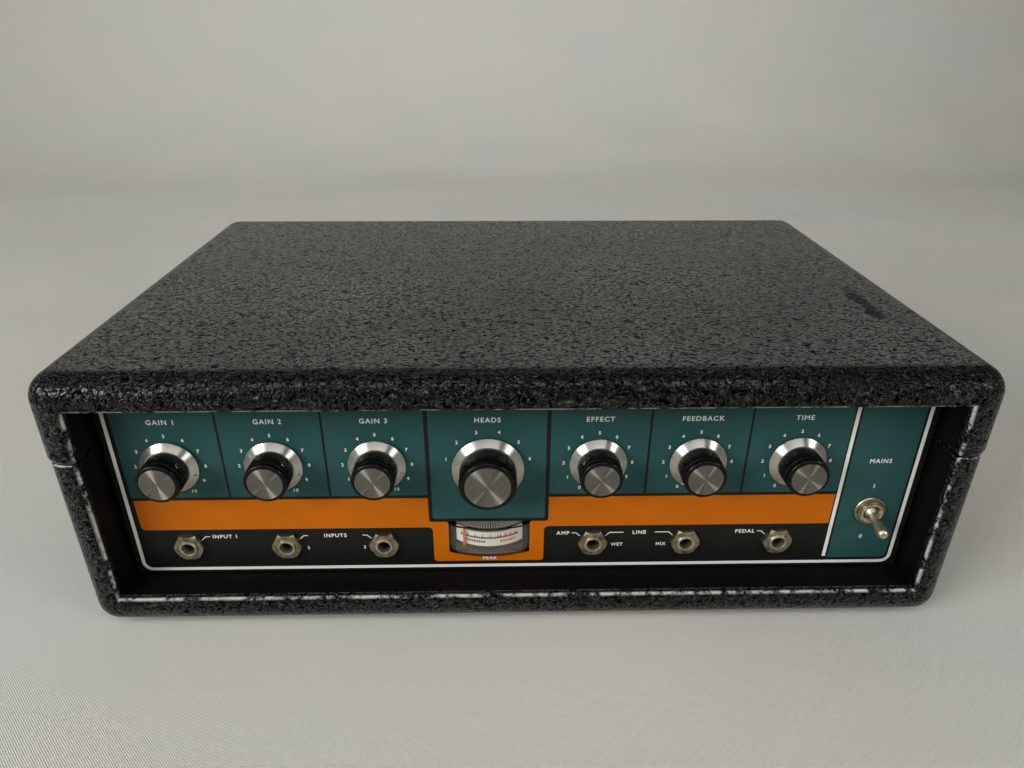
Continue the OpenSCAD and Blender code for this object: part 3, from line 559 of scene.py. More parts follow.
def middle_of(name):
    """The middle of a node's box."""
    low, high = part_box(name)
    return (low + high) / 2


def block(low, high, radius=0.0, segments=1):
    """A box between two corners, its edges rounded."""
    shape = bmesh.new()
    bmesh.ops.create_cube(shape, size=1)
    low, high = Vector(low), Vector(high)
    place = Matrix.Translation((low + high) / 2) @ Matrix.Diagonal((*(high - low), 1))
    bmesh.ops.transform(shape, matrix=place, verts=shape.verts)
    if radius:
        bmesh.ops.bevel(
            shape, geom=shape.edges[:], offset=radius, segments=segments, profile=0.5, affect="EDGES")
    return shape


def cut_away(mesh, cutters):
    """The mesh with every cutter's shape taken out of it."""
    thing = add_object(mesh)
    tools = [add_object(mesh_from(cutter, "cutter")) for cutter in cutters]
    for tool in tools:
        boolean = thing.modifiers.new("cut", "BOOLEAN")
        boolean.operation = "DIFFERENCE"
        boolean.solver = "EXACT"
        boolean.object = tool
    result = evaluated_mesh(thing)
    for tool in tools:
        bpy.data.objects.remove(tool)
    return result


def on_panel(x, z, out=0.0):
    """Places a shape on the panel, its +Z to the front and its +Y up."""
    return Matrix.Translation((x, panel_front - out, z)) @ Matrix.Rotation(math.pi / 2, 4, "X")


def turned(profile, steps=64, ribs=0, closed=False):
    """A shape turned about Z. The profile is (radius, height, rib depth) points in millimetres, from the axis
    out and back to it, or closed into a ring. Ribs, if any, run down the points that have a rib depth."""
    shape = bmesh.new()
    rings = []
    if ribs:
        steps = ribs * 4
    for radius, height, *rest in profile:
        depth = rest[0] if rest else 0
        if radius == 0:
            rings.append([shape.verts.new((0, 0, height * MM))])
            continue
        ring = []
        for i in range(steps):
            angle = 2 * math.pi * i / steps
            in_groove = ribs and i % 4 < 2  # two points in a groove, then two on a rib
            r = (radius - depth * in_groove) * MM
            ring.append(shape.verts.new((r * math.cos(angle), r * math.sin(angle), height * MM)))
        rings.append(ring)
    pairs = list(zip(rings, rings[1:])) + ([(rings[-1], rings[0])] if closed else [])
    for a, b in pairs:
        for i in range(steps):
            j = (i + 1) % steps
            corners = [a[i % len(a)], a[j % len(a)], b[j % len(b)], b[i % len(b)]]
            unique = [v for k, v in enumerate(corners) if v not in corners[:k]]
            shape.faces.new(unique)
    return shape


def joined(shapes, name):
    """Several shapes as one mesh. Each is a bmesh, or a bmesh with the matrix that places it."""
    whole = bmesh.new()
    for item in shapes:
        shape, matrix = item if isinstance(item, tuple) else (item, Matrix.Identity(4))
        part = mesh_from(shape, "part")
        part.transform(matrix)
        whole.from_mesh(part)
        bpy.data.meshes.remove(part)
    mesh = bpy.data.meshes.new(name)
    bmesh.ops.recalc_face_normals(whole, faces=whole.faces)
    whole.to_mesh(mesh)
    whole.free()
    return mesh


def joined_piece(name, shapes, body, material, replaced=(), sharp_over=35):
    """Several shapes as one smooth piece of one material."""
    return new_piece(name, smooth(joined(shapes, name), sharp_over), body, [material], replaced)


# The covered case


def sliced(shape, place, facing, clear=False):
    """Cuts a shape along a plane and gives the cut's edges. With clear, what lies past the plane goes."""
    cut = bmesh.ops.bisect_plane(
        shape, geom=shape.verts[:] + shape.edges[:] + shape.faces[:], plane_co=place, plane_no=facing,
        clear_outer=clear)
    return [e for e in cut["geom_cut"] if isinstance(e, bmesh.types.BMEdge)]


def covered_half(name, block_low, block_high, keep_low, keep_high, cutters):
    """Half of the case: boards with round edges, with a smaller round on the edges of the front opening and
    of the joint. Its faces are vinyl outside, pressed vinyl in front of the panel, and bare wood behind
    it."""
    shape = block(block_low, block_high, edge_radius, 10)
    for height, up in ((keep_low, -1), (keep_high, 1)):
        rim = sliced(shape, (0, 0, height), (0, 0, up), clear=True)
        if rim:
            bmesh.ops.contextual_create(shape, geom=rim)
    mesh = cut_away(mesh_from(shape, name), cutters)

    near = 0.05 * MM
    shape = opened(mesh)
    bmesh.ops.dissolve_limit(shape, angle_limit=0.001, verts=shape.verts[:], edges=shape.edges[:])
    weight = shape.edges.layers.float.new("bevel_weight_edge")
    for edge in shape.edges:
        if len(edge.link_faces) != 2 or edge.calc_face_angle(0) < math.radians(50):
            continue
        ends = [v.co for v in edge.verts]
        if all(abs(co.z - seam) < 1 * MM for co in ends):
            edge[weight] = lip_radius / inner_edge_radius
        elif all(co.y < block_low.y + near for co in ends):
            edge[weight] = 1.0
        elif all(co.y > inner_back - near and abs(co.x) < inner_x / 2 for co in ends):
            edge[weight] = lip_radius / inner_edge_radius
    shape.to_mesh(mesh)
    shape.free()

    thing = add_object(mesh)
    thing.data.materials.append(vinyl)
    thing.data.materials.append(rubbed_vinyl)
    rounding = thing.modifiers.new("rounding", "BEVEL")
    rounding.limit_method = "WEIGHT"
    rounding.width = inner_edge_radius
    rounding.segments = 5
    rounding.use_clamp_overlap = False
    rounding.material = 1
    mesh = evaluated_mesh(thing)
    mesh.name = name

    shape = opened(mesh)
    behind_panel = panel_high.y + 12 * MM
    sliced(shape, (0, behind_panel, 0), (0, 1, 0))
    for face in shape.faces:
        middle = face.calc_center_median()
        inside = abs(middle.x) < inner_x + near and floor_top - near < middle.z < lid_under + near
        inside = inside and base_low.y + near < middle.y < inner_back + near
        inside = inside and abs(middle.z - seam) > 0.5 * MM
        if inside and face.material_index == 0:
            face.material_index = 3 if middle.y > behind_panel else 2
    shape.to_mesh(mesh)
    shape.free()
    return smooth(mesh)


def make_base():
    front = Vector((base_low.x, base_low.y, base_low.z))
    top = Vector((base_high.x, base_high.y, lid_high.z))
    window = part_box("rear_plate")
    frame_overlap = (10 * MM, 8 * MM)
    room = block((-inner_x, base_low.y - 20 * MM, floor_top), (inner_x, inner_back, lid_high.z + 20 * MM))
    rear = block(
        (window[0].x + frame_overlap[0], inner_back - 5 * MM, window[0].z + frame_overlap[1]),
        (window[1].x - frame_overlap[0], base_high.y + 5 * MM, window[1].z - frame_overlap[1]))
    mesh = covered_half("base_covering", front, top, base_low.z, base_high.z, [room, rear])
    return new_piece("base_covering", mesh, "base", case_finishes, ["base_tray"])


def make_lid():
    bottom = Vector((lid_low.x, lid_low.y, base_low.z))
    room = block((-inner_x, lid_low.y - 20 * MM, base_low.z), (inner_x, inner_back, lid_under))
    mesh = covered_half("lid_covering", bottom, lid_high, lid_low.z, lid_high.z, [room])
    return new_piece("lid_covering", mesh, "lid", case_finishes, ["lid"])


make_base()
make_lid()

# The panel's print. Its places are in millimetres: x from the middle, and heights above the case's underside.

border_x = 196.7
border_low = 21.9
border_width = 1.8
border_corner = 4.4
divider_x = 161.4
divider_low = 25.5
band_low = 47.2
band_high = 65.5
fields_low = 67.3
mode_low = 52.6
power_low = 24.6
print_top = (panel_high.z - foot_height) / MM
mode_left = -44.8
mode_right = 12.2
field_left = -193.8
field_right = 159.8
thin_lines = [-144.8, -95.2, 62.3, 111.0]
thin_width = 1.15
thick_width = 2.0
tab_left = -45.1
tab_right = 12.1
tab_low = 25.0
cut_left = -37.1
cut_right = 4.75
cut_low = 31.0
cut_high = 50.6
power_left = 163.4
power_right = 194.6
arc_steps = 6
knob_hole = 6.6
switch_hole = 7.5


def outline(corners):
    """The points of an outline whose corners are (x, height, radius) in millimetres."""
    points = []
    for i, (x, y, radius) in enumerate(corners):
        here = Vector((x, y))
        if not radius:
            points.append(here)
            continue
        before = (Vector(corners[i - 1][:2]) - here).normalized()
        after = (Vector(corners[(i + 1) % len(corners)][:2]) - here).normalized()
        half = before.angle(after) / 2
        reach = radius / math.tan(half)
        centre = here + (before + after).normalized() * radius / math.sin(half)
        start = here + before * reach - centre
        turn = before.angle_signed(after)
        sweep = math.copysign(math.pi - 2 * half, -turn)
        for step in range(arc_steps + 1):
            angle = -sweep * step / arc_steps
            spin = Matrix.Rotation(angle, 2)
            points.append(centre + spin @ start)
    return points


def printed(outlines):
    """Flat ink, filled between its outlines, as a shape in the panel's own plane. An outline inside another
    is a hole."""
    curve = bpy.data.curves.new("ink", "CURVE")
    curve.dimensions = "2D"
    curve.fill_mode = "BOTH"
    curve.extrude = ink_thick / 2
    for points in outlines:
        add_line(curve, [(x * MM, y * MM + foot_height, 0) for x, y in points], closed=True)
    return shape_of(curve, (0, 0, ink_thick / 2))


def circle(x, y, radius):
    steps = 48
    return [(x + radius * math.cos(2 * math.pi * i / steps), y + radius * math.sin(2 * math.pi * i / steps))
            for i in range(steps)]


def panel_print(name, shapes, material):
    flat = on_panel(0, 0)
    return new_piece(name, joined([(s, flat) for s in shapes], name), "base", [material])


def stroke(points, width):
    """The outline of a line of that width along points, with square ends."""
    sides = ([], [])
    places = [Vector(p) for p in points]
    for i, place in enumerate(places):
        ahead = (places[min(i + 1, len(places) - 1)] - places[max(i - 1, 0)]).normalized()
        if 0 < i < len(places) - 1:
            into = (place - places[i - 1]).normalized()
            spread = 1 / max(0.3, into.dot(ahead))
        else:
            spread = 1
        across = Vector((-ahead.y, ahead.x)) * width / 2 * spread
        sides[0].append(place + across)
        sides[1].append(place - across)
    return sides[0] + sides[1][::-1]


def print_place(name):
    """The middle of a node in the print's own millimetres."""
    middle = middle_of(name)
    return middle.x / MM, (middle.z - foot_height) / MM


def hole_for(control):
    return circle(*print_place(control + "_spindle"), knob_hole)


def field(left, low, right, corner_left=0, corner_right=0):
    """A field that runs up to the panel's top edge, its two lower corners rounded."""
    return outline([
        (left, low, corner_left), (right, low, corner_right), (right, print_top, 0), (left, print_top, 0)])


def make_fields():
    """The teal fields: three on each side of the mode field, and the power field at the right."""
    half_line = thin_width / 2
    left = [field_left] + [x + half_line for x in thin_lines[:2]]
    left_ends = [x - half_line for x in thin_lines[:2]] + [mode_left - thick_width]
    right = [mode_right + thick_width] + [x + half_line for x in thin_lines[2:]]
    right_ends = [x - half_line for x in thin_lines[2:]] + [field_right]
    shapes = []
    for control, low, high in zip(small_controls, left + right, left_ends + right_ends):
        shapes.append(printed([field(low, fields_low, high), hole_for(control)]))
    shapes.append(printed([field(mode_left, mode_low, mode_right, 1.5, 1.5), hole_for("mode")]))
    power_field = field(power_left, power_low, power_right, 0, 2.6)
    shapes.append(printed([power_field, circle(*print_place("toggle_nut"), switch_hole)]))
    return panel_print("teal_fields", shapes, teal_enamel)


def make_band():
    """The orange band, with the tab that runs round the meter."""
    edge = outline([
        (field_left + 0.6, band_high, 0), (field_left + 0.9, band_low, 2.2), (tab_left, band_low, 2.4),
        (tab_left, tab_low, 1.8), (tab_right, tab_low, 1.8), (tab_right, band_low, 2.4),
        (field_right, band_low, 0), (field_right, band_high, 0), (mode_right + thick_width, band_high, 0),
        (mode_right + thick_width, mode_low - thick_width, 1.6), (cut_right, cut_high, 1.2),
        (cut_right, cut_low, 1), (cut_left, cut_low, 1), (cut_left, cut_high, 1.2),
        (mode_left - thick_width, mode_low - thick_width, 1.6), (mode_left - thick_width, band_high, 0)])
    return panel_print("orange_band", [printed([edge])], orange_enamel)


def make_border():
    """The white line round the panel's foot and the one left of the power switch."""
    outer_x, inner_border_x = border_x + border_width / 2, border_x - border_width / 2
    low, high = border_low - border_width / 2, border_low + border_width / 2
    round_out, round_in = border_corner + border_width / 2, border_corner - border_width / 2
    border = outline([
        (-outer_x, print_top, 0), (-outer_x, low, round_out), (outer_x, low, round_out),
        (outer_x, print_top, 0), (inner_border_x, print_top, 0), (inner_border_x, high, round_in),
        (-inner_border_x, high, round_in), (-inner_border_x, print_top, 0)])
    divider = stroke([(divider_x, divider_low), (divider_x, print_top)], border_width)
    return panel_print("white_border", [printed([border]), printed([divider])], white_ink)


def cap_share():
    """How tall a capital is in Blender's own font, as a share of its size."""
    curve = bpy.data.curves.new("capital", "FONT")
    curve.body = "H"
    mesh = evaluated_mesh(add_object(curve))
    heights = [v.co.y for v in mesh.vertices]
    bpy.data.meshes.remove(mesh)
    return max(heights) - min(heights)


CAP_SHARE = cap_share()


def lettering(text, x, height, cap, align="CENTER"):
    """One word in plain capitals or numbers, in the panel's own plane, its middle at that height. x, height
    and cap, the height of a capital, are in millimetres."""
    curve = bpy.data.curves.new("word", "FONT")
    curve.body = text
    curve.size = cap * MM / CAP_SHARE
    curve.align_x = align
    curve.space_character = letter_space
    curve.extrude = letter_thick / 2
    curve.offset = letter_bold
    curve.resolution_u = 3
    return shape_of(curve, (x * MM, (height - cap / 2) * MM + foot_height, letter_thick / 2))


def around(control, distance, angle):
    """The place, in millimetres, at a dial angle clockwise from the top and a distance from a knob's
    middle."""
    x, height = print_place(control + "_spindle")
    turn = math.radians(angle)
    return x + distance * math.sin(turn), height + distance * math.cos(turn)


def make_dial_numbers():
    """Plain numbers round each knob: 0 to 10 on the six level dials and 1 to 6 round the mode knob."""
    number_out = 16.9
    mode_number_out = 21.2
    number_height = 1.75
    shapes = []
    for control in small_controls:
        for i in range(dial_numbers):
            x, height = around(control, number_out, -dial_turn / 2 + dial_turn * i / (dial_numbers - 1))
            shapes.append(lettering(str(i), x, height, number_height))
    for i in range(mode_numbers):
        x, height = around("mode", mode_number_out, mode_step * (i - (mode_numbers - 1) / 2))
        shapes.append(lettering(str(i + 1), x, height, number_height))
    return panel_print("dial_numbers", shapes, white_ink)


def make_headings():
    """Generic names over the knobs, the meter and the switch."""
    words = ["GAIN 1", "GAIN 2", "GAIN 3", "EFFECT", "FEEDBACK", "TIME", "HEADS"]
    heading_height, heading_cap = 110.3, 2.5
    meter_height, meter_cap = 26.8, 1.9
    switch_cap, switch_shift = 2.3, -0.9
    shapes = []
    for control, word in zip(small_controls + ["mode"], words):
        shapes.append(lettering(word, print_place(control + "_spindle")[0], heading_height, heading_cap))
    shapes.append(lettering("PEAK", print_place("meter_case")[0], meter_height, meter_cap))
    for word, height in (("MAINS", 85.2), ("1", 70.2), ("0", 38.5)):
        shapes.append(lettering(word, print_place("toggle_nut")[0] + switch_shift, height, switch_cap))
    return panel_print("headings", shapes, white_ink)


def make_jack_labels():
    """Generic names by the jacks, with thin lines that lead to their nuts, and smaller ones below."""
    line_width = 0.45
    rise = 42.7
    lower = 35.0
    word_height, small_height = 2.1, 1.8
    shapes = []

    def lead(jack, side, reach=11.0):
        x, height = jack_places[jack].x / MM, (jack_places[jack].z - foot_height) / MM
        line = [(x + side * 6.6, height + 3.4), (x + side * 8.8, rise), (x + side * reach, rise)]
        shapes.append(printed([stroke(line, line_width)]))
        return x + side * (reach + 1.2)

    shapes.append(lettering("INPUT 1", lead(0, 1), rise, word_height, "LEFT"))
    shapes.append(lettering("INPUTS", (lead(1, 1) + lead(2, -1)) / 2, rise, word_height))
    shapes.append(lettering("AMP", lead(3, -1), rise, word_height, "RIGHT"))
    shapes.append(lettering("LINE", (lead(3, 1, 16.0) + lead(4, -1, 16.0)) / 2, rise, word_height))
    shapes.append(lettering("PEDAL", lead(5, -1), rise, word_height, "RIGHT"))
    for word, jack, side in (("2", 1, 1), ("3", 2, -1), ("WET", 3, 1), ("MIX", 4, -1)):
        edge = jack_places[jack].x / MM + side * 9.8
        shapes.append(lettering(word, edge, lower, small_height, "LEFT" if side > 0 else "RIGHT"))
    return panel_print("jack_labels", shapes, white_ink)


make_fields()
make_band()
make_border()
make_dial_numbers()
make_headings()
make_jack_labels()

# Knobs


def grip_profile(grip, face, disc, out, knurl_top):
    """The profile of a knob's grip in millimetres: knurled up to knurl_top, then turned grooves where there
    is room and a round edge to its face. It is hollow round its shaft."""
    shaft, hub, hub_low, skirt_top = 3.05, 7.5, 3.6, 4.4
    knurl = 0.45
    groove = 0.4
    groove_width = 0.4
    rows = [
        (0, 13), (shaft, 13), (shaft, hub_low), (hub, hub_low), (hub, skirt_top), (grip - 0.35, skirt_top)]
    rows += [(grip, skirt_top + 0.35, knurl), (grip, knurl_top - 0.35, knurl), (grip - 0.45, knurl_top)]
    start = knurl_top + 0.2
    while start + 3 * groove_width < out - 1.2:
        rows += [
            (face, start + 0.2), (face, start + groove_width), (face - groove, start + 1.3 * groove_width),
            (face - groove, start + 1.9 * groove_width)]
        start += 2.2 * groove_width
    rows += [(face, start + 0.2), (face, out - 1), (face - 0.15, out - 0.6), (face - 0.5, out - 0.3),
             (face - 0.9, out - 0.2)]
    rows += [(disc + 0.1, out - 0.2), (disc + 0.1, out - 1), (0, out - 1)]
    return rows


def make_knob(control, grip, face, disc, out, knurl_top, ribs):
    middle = middle_of(control + "_spindle")
    shape = turned(grip_profile(grip, face, disc, out, knurl_top), ribs=ribs)
    return joined_piece(
        control + "_grip", [(shape, on_panel(middle.x, middle.z))], control + "_control",
        black_plastic, [control + "_knob"], sharp_over=50)


def make_set_screw(control, angle, grip):
    """A slotted brass grub screw in the side of a grip, at a dial angle."""
    middle = middle_of(control + "_spindle")
    head = turned([
        (0, -2.0), (1.55, -2.0), (1.55, -0.25), (1.3, 0.0), (0.9, 0.0), (0.9, -0.5), (0, -0.5)], 24)
    out = 9.0
    turn = math.radians(angle)
    spoke = Vector((math.sin(turn), math.cos(turn), 0))
    lean = spoke.to_track_quat("Z", "Y").to_matrix().to_4x4()
    lean.translation = spoke * (grip - 0.05) * MM + Vector((0, 0, out * MM))
    place = on_panel(middle.x, middle.z) @ lean
    return joined_piece(control + "_set_screw", [(head, place)], control + "_control", brass)


small_ribs = 60  # the real ones are finer, 80 and 100, and would hardly show
mode_ribs = 76
for control in small_controls:
    make_knob(control, grip=10.4, face=10.2, disc=8.3, out=16.3, knurl_top=12.9, ribs=small_ribs)
make_knob("mode", grip=13.9, face=13.2, disc=11, out=17, knurl_top=15.6, ribs=mode_ribs)
set_screw_out = 10.3
for control, screw_angle in (("input_1", 53), ("input_2", 50), ("volume", -55)):
    make_set_screw(control, screw_angle, set_screw_out)

# Jacks and the power switch


def make_jacks():
    """The jacks' threaded barrels, with rounded mouths, and their moulded bodies behind the panel."""
    hole = jack_radius / MM
    low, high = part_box("jack_sockets")
    barrel_out = (panel_front - low.y) / MM
    deep = (high.y - panel_front) / MM
    half_wide, half_high, body_front, rounding = 7 * MM, 9 * MM, 3.5 * MM, 0.6 * MM
    barrels, bodies = [], []
    for place in jack_places:
        barrel = turned([
            (hole, -3.4), (4.6, -3.4), (4.6, barrel_out - 0.5), (4.35, barrel_out - 0.1), (4.0, barrel_out),
            (hole + 0.45, barrel_out), (hole + 0.12, barrel_out - 0.15), (hole, barrel_out - 0.5)], 48,
            closed=True)
        barrels.append((barrel, on_panel(place.x, place.z)))
        low = Vector((place.x - half_wide, panel_front + body_front, place.z - half_high))
        high = Vector((place.x + half_wide, panel_front + deep * MM, place.z + half_high))
        body = mesh_from(block(low, high, rounding, 2), "jack_body")
        bore = turned([(0, -deep + 1.5), (hole, -deep + 1.5), (hole, 1), (0, 1)], 48)
        bmesh.ops.transform(bore, matrix=on_panel(place.x, place.z), verts=bore.verts)
        bodies.append(opened(cut_away(body, [bore])))
    joined_piece("jack_barrels", barrels, "base", bright_nickel, ["jack_sockets"])
    joined_piece("jack_bodies", bodies, "base", black_plastic)


def make_lever():
    """The switch's bat lever: a ball in the bush, a neck and a swelling tip with a round end."""
    middle = middle_of("toggle_nut")
    tilt = math.radians(11)
    ball, neck, tip, tip_out = 3.6, 1.9, 2.9, 15.0
    steps = 12
    rows = [(0, -ball)]
    rows += [(ball * math.sin(a), -ball * math.cos(a))
             for a in (math.pi * i / steps for i in range(1, steps)) if -math.cos(a) * ball < 3.0]
    rows += [(neck, 3.3), (neck + 0.1, 5), (neck + 0.35, 8), (tip - 0.3, 12), (tip - 0.05, 13.8)]
    rows += [(tip * math.cos(a), tip_out + tip * math.sin(a))
             for a in (math.pi / 2 * i / steps for i in range(steps))]
    rows += [(0, tip_out + tip)]
    pivot_out = 0.5 * MM
    matrix = on_panel(middle.x, middle.z, pivot_out) @ Matrix.Rotation(tilt, 4, "X")
    return joined_piece(
        "bat_lever", [(turned(rows, 40), matrix)], "power_lever", bright_nickel, ["toggle_lever"],
        sharp_over=50)


make_jacks()
make_lever()

# The level meter

scale_radius = 27 * MM
scale_pivot = Vector((middle_of("meter_case").x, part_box("meter_scale")[0].y + scale_radius, 0))


def bent(width, low, high, radius, thick, steps=24, start=0.0):
    """A curved strip about the meter's pivot. start and width are degrees from the middle, positive to the
    right."""
    shape = bmesh.new()
    rows = []
    for i in range(steps + 1):
        turn = math.radians(start - width / 2 + width * i / steps)
        way = Vector((math.sin(turn), -math.cos(turn), 0))
        inner, outer = scale_pivot + way * radius, scale_pivot + way * (radius + thick)
        rows.append([shape.verts.new((p.x, p.y, z)) for p, z in (
            (inner, low), (outer, low), (outer, high), (inner, high))])
    for a, b in zip(rows, rows[1:]):
        for i in range(4):
            shape.faces.new([a[i], a[(i + 1) % 4], b[(i + 1) % 4], b[i]])
    shape.faces.new(rows[0])
    shape.faces.new(rows[-1][::-1])
    return shape


def make_meter():
    """What shows inside the meter's clear case: the card's print, a fluted light guide over it and a dark
    shelf. Places along the scale are in degrees from its middle."""
    ink = 0.05 * MM
    arc_low, arc_high, tick_high, red_tick_high = 45.2 * MM, 46.2 * MM, 47.6 * MM, 48.0 * MM
    dash_low, dash_high = 42.6 * MM, 44.0 * MM
    left, right, red_from = -33, 33, 10
    guide_radius, shelf_radius = 17 * MM, 14 * MM

    def arc(start, end, high):
        return bent(end - start, arc_low, high, scale_radius, ink, start=(start + end) / 2)

    def marks(width, low, high, count, first, apart, steps=2):
        return [bent(width, low, high, scale_radius, ink, steps, first + apart * i) for i in range(count)]

    black = [arc(left, red_from, arc_high)]
    black += marks(0.9, arc_high, tick_high, 6, left + 1, (red_from - left - 2) / 5, 1)
    black += marks(1.8, dash_low, dash_high, 9, left + 6, 2.7)
    red = [arc(red_from, right, arc_high + 0.3 * MM)]
    red += marks(1.3, arc_high, red_tick_high, 4, red_from + 2, 5.6)
    red += marks(1.8, dash_low, dash_high, 6, red_from + 3, 2.9)
    flutes = [bent(1.5, 51.5 * MM, 52.2 * MM, guide_radius, 11 * MM, 2, -36.4 + 2.8 * i) for i in range(27)]
    shelf = [
        bent(78, 37.3 * MM, 39.2 * MM, shelf_radius, 14.3 * MM),
        bent(70, 39.2 * MM, 40.4 * MM, shelf_radius, 12.6 * MM),
        bent(78, 50.8 * MM, 51.4 * MM, guide_radius, 10.5 * MM)]
    for name, shapes, slot, material in (
            ("meter_card_scale", black, "white_card", card_black),
            ("meter_card_red_zone", red, "white_card", card_red),
            ("meter_light_guide", flutes, "white_card", white_plastic),
            ("meter_shelf", shelf, "black_plastic", grey_plastic)):
        new_piece(name, joined(shapes, name), "base", [material])


make_meter()

# Screws


def screw_head(radius, height):
    """A pan head with a cross recess, on z = 0, in millimetres."""
    rise = 4
    rows = [(0, -0.4), (radius, -0.4), (radius, 0.2)]
    for i in range(1, rise):
        turn = math.pi / 2 * i / rise
        rows.append((radius * math.cos(turn), 0.2 + (height - 0.2) * math.sin(turn)))
    rows += [(0, height)]
    head = mesh_from(turned(rows, 24), "head")
    arm, wide, deep = radius * 0.55 * MM, radius * 0.13 * MM, height * 0.45 * MM
    top = height * MM
    bars = [block((-arm, -wide, top - deep), (arm, wide, top + 1 * MM)),
            block((-wide, -arm, top - deep), (wide, arm, top + 1 * MM))]
    return cut_away(head, bars)


def make_screws(name, places, radius, height, body, replaced=()):
    """Several alike screws as one piece. Each place is a point and the way that its head faces."""
    head = screw_head(radius, height)
    shapes = []
    for i, (point, facing) in enumerate(places):
        turn = Vector(facing).to_track_quat("Z", "Y").to_matrix().to_4x4() @ Matrix.Rotation(0.7 * i, 4, "Z")
        turn.translation = Vector(point)
        shapes.append((opened(head), turn))
    bpy.data.meshes.remove(head)
    return joined_piece(name, shapes, body, steel, replaced)


def hinge_screw_places(height):
    """The two screws of each hinge leaf, at that height."""
    leaf_thick = 1.5 * MM
    back = base_high.y + leaf_thick
    hinge_middle = 120 * MM
    spread = 50 * MM / 3
    return [((side * hinge_middle + end * spread, back, height), (0, 1, 0))
            for side in (-1, 1) for end in (-1, 1)]


leaf_high = 22 * MM
leaf_screw = 0.65 * leaf_high
foot_x, foot_y, foot_recess = 180 * MM, 112 * MM, 1 * MM
plate_edge_x, plate_edge_z = 5 * MM, 4 * MM
foot_places = [(x, y) for x in (-foot_x, foot_x) for y in (-foot_y, foot_y)]
plate_low, plate_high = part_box("rear_plate")
base_screws = hinge_screw_places(seam - leaf_screw)
base_screws += [((x, y, foot_height - foot_recess), (0, 0, -1)) for x, y in foot_places]
base_screws += [((x, plate_low.y, z), (0, -1, 0))
                for x in (plate_low.x + plate_edge_x, plate_high.x - plate_edge_x)
                for z in (plate_low.z + plate_edge_z, plate_high.z - plate_edge_z)]
make_screws("base_screw_heads", base_screws, 3, 1.8, "base", ["base_wood_screws"])
make_screws("lid_screw_heads", hinge_screw_places(seam + leaf_screw), 3, 1.8, "lid", ["lid_wood_screws"])

post_low, post_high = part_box("deck_posts")
post_radius = 4 * MM
deck_screws = [((x, y, deck_top), (0, 0, 1)) for x in (post_low.x + post_radius, post_high.x - post_radius)
               for y in (post_low.y + post_radius, post_high.y - post_radius)]
make_screws("deck_screws", deck_screws, 3, 1.6, "base")

head_x = [-115, -85, -50, -10, 30]
head_screw_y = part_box("erase_head")[0].y + 1.5 * MM
head_screws = [((x * MM, head_screw_y, deck_top + 3 * MM), (0, 0, 1)) for x in head_x]
make_screws("head_screws", head_screws, 1.3, 0.9, "base")


def make_pinch_spring():
    """The torsion spring round the pinch arm's pivot, wound from 0.8 mm wire."""
    low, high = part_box("pinch_spring")
    middle = middle_of("pinch_spring")
    wire = 0.4 * MM
    coil = (high.x - low.x) / 2 - wire
    climb = high.z - low.z - 2 * wire
    turns = 6
    steps_per_turn = 20
    steps = turns * steps_per_turn
    points = []
    for i in range(steps + 1):
        angle = 2 * math.pi * i / steps_per_turn
        points.append((middle.x + coil * math.cos(angle), middle.y + coil * math.sin(angle),
                       low.z + wire + climb * i / steps))
    curve = bpy.data.curves.new("spring", "CURVE")
    curve.dimensions = "3D"
    curve.bevel_depth = wire
    curve.bevel_resolution = 3
    curve.use_fill_caps = True
    add_line(curve, points)
    mesh = smooth(evaluated_mesh(add_object(curve)), 60)
    return new_piece("torsion_spring", mesh, "base", [steel], ["pinch_spring"])


def make_roller_clips():
    """A spring washer on each roller's post, over the roller."""
    shapes = []
    for name in guide_rollers:
        middle = middle_of(name)
        ring = turned([(3.0, 0), (5.2, 0), (5.4, 0.2), (5.2, 0.6), (3.0, 0.6)], 32, closed=True)
        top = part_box(name)[1].z + 0.3 * MM
        shapes.append((ring, Matrix.Translation((middle.x, middle.y, top))))
    return joined_piece("roller_clips", shapes, "base", steel)


make_pinch_spring()
make_roller_clips()

# The finishes of the nodes that stay as the part gives them


def dress(material, *names):
    for name in names:
        node = nodes[name]
        if not node.material_slots:
            node.data.materials.append(material)
        for place in node.material_slots:
            place.material = material


dress(black_enamel, "front_panel")
dress(nickel, "panel_nuts", "toggle_nut")
dress(bright_nickel, "toggle_housing")
dress(clear_plastic, "meter_case")
dress(card, "meter_scale")
dress(needle_plastic, "meter_needle")
dress(aluminium, *[control + "_spindle" for control in small_controls + ["mode"]])
dress(machined_alloy, *guide_rollers, "record_head", "play_heads")
dress(black_plastic, "cord_gland", "fuse_holder", "meter_movement", "erase_head")
dress(rubber, "rubber_feet", "pinch_roller", "drive_belt")
dress(brass, "capstan_bearing", "motor_pulley")
dress(tape, "tape_loop")
dress(laminations, "transformer")
dress(board, "circuit_board")
dress(deck_paint, "deck_plate")
dress(
    steel, "base_hinge_leaves", "lid_hinge_leaves", "hinge_pins", "rear_plate", "chassis", "case_screws",
    "pot_housings", "switch_housing", "motor_housing", "deck_posts", "roller_posts", "thrust_bracket",
    "flywheel", "pinch_arm")

# The set: a pale cotton sweep, soft lamps and the camera where the photograph was taken from


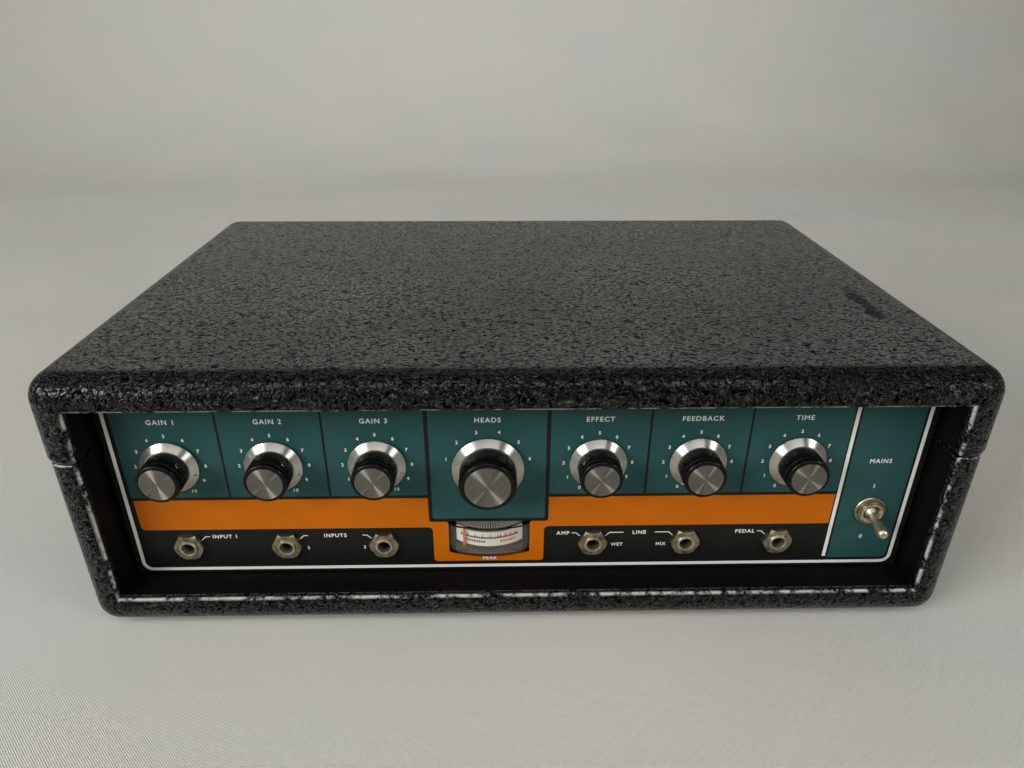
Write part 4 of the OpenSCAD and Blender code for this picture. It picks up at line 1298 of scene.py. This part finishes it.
def make_sweep():
    """A floor that curves up into a wall behind the object."""
    half_width, front, bend_start, bend_radius, wall_top = 3.0, -2.6, 1.0, 0.6, 1.25
    rows = [(front, 0.0), (bend_start, 0.0)]
    steps = 16
    rows += [(bend_start + bend_radius * math.sin(a), bend_radius * (1 - math.cos(a)))
             for a in (math.pi / 2 * i / steps for i in range(1, steps + 1))]
    rows += [(bend_start + bend_radius, wall_top)]
    shape = bmesh.new()
    lines = [[shape.verts.new((x, y, z)) for x in (-half_width, half_width)] for y, z in rows]
    for a, b in zip(lines, lines[1:]):
        shape.faces.new([a[0], a[1], b[1], b[0]])
    mesh = bpy.data.meshes.new("sweep")
    shape.to_mesh(mesh)
    shape.free()
    mesh.shade_smooth()
    sweep = add_object(mesh, "sweep")
    mesh.materials.append(cotton_backdrop())


def add_lamp(name, place, aim, size, watts, spread=180):
    """A soft rectangular lamp. spread is the angle, in degrees, that its light fans out to."""
    lamp = bpy.data.lights.new(name, "AREA")
    lamp.shape = "RECTANGLE"
    lamp.size, lamp.size_y = size
    lamp.energy = watts
    lamp.spread = math.radians(spread)
    thing = add_object(lamp, name)
    thing.location = place
    thing.rotation_euler = (Vector(aim) - Vector(place)).to_track_quat("-Z", "Y").to_euler()


def make_world():
    """Faint even light from all round, and pale grey where the camera sees past the sweep."""
    world = bpy.data.worlds.new("room")
    bpy.context.scene.world = world
    world.use_nodes = True
    tree = world.node_tree
    tree.nodes.clear()
    path = add_node(tree, "LightPath")
    room = add_node(tree, "Background", {"Color": "#ffffff", "Strength": 0.07})
    seen = add_node(tree, "Background", {"Color": "#b0aea6", "Strength": 1.0})
    mix = add_node(tree, "MixShader", {0: path.outputs["Is Camera Ray"], 1: room, 2: seen})
    add_node(tree, "OutputWorld", {"Surface": mix})


def make_camera():
    """The camera's place and turn, worked out from the outline of the case in the photograph."""
    place = Vector((-0.01124, -0.42273, 0.28327))
    yaw, pitch, roll = -0.0221, -0.4689, -0.0032
    turn = Matrix.Rotation(yaw, 3, "Z") @ Matrix.Rotation(pitch, 3, "X") @ Matrix.Rotation(roll, 3, "Y")
    right, ahead, up = turn.col[0], turn.col[1], turn.col[2]
    facing = Matrix((right, up, -ahead)).transposed().to_4x4()
    facing.translation = place
    lens = bpy.data.cameras.new("camera")
    lens.sensor_width = 36
    lens.lens = 25.35
    lens.clip_start = 0.01
    camera = add_object(lens, "camera")
    camera.matrix_world = facing
    bpy.context.scene.camera = camera


make_sweep()
make_world()
make_camera()
add_lamp("left window", (-1.7, -1.3, 1.05), (0, 0, 0.08), (1.1, 0.8), 38)
add_lamp("right window", (1.7, -1.2, 1.0), (0, 0, 0.08), (0.6, 0.5), 12)
add_lamp("ceiling lamp", (-0.1, -0.9, 1.3), (0, -0.14, 0.1), (1.8, 0.5), 9)
add_lamp("backdrop lamp", (0.0, 0.5, 2.2), (0, 1.4, 0.2), (1.8, 0.4), 4, spread=90)
bpy.context.scene.view_settings.view_transform = "Standard"
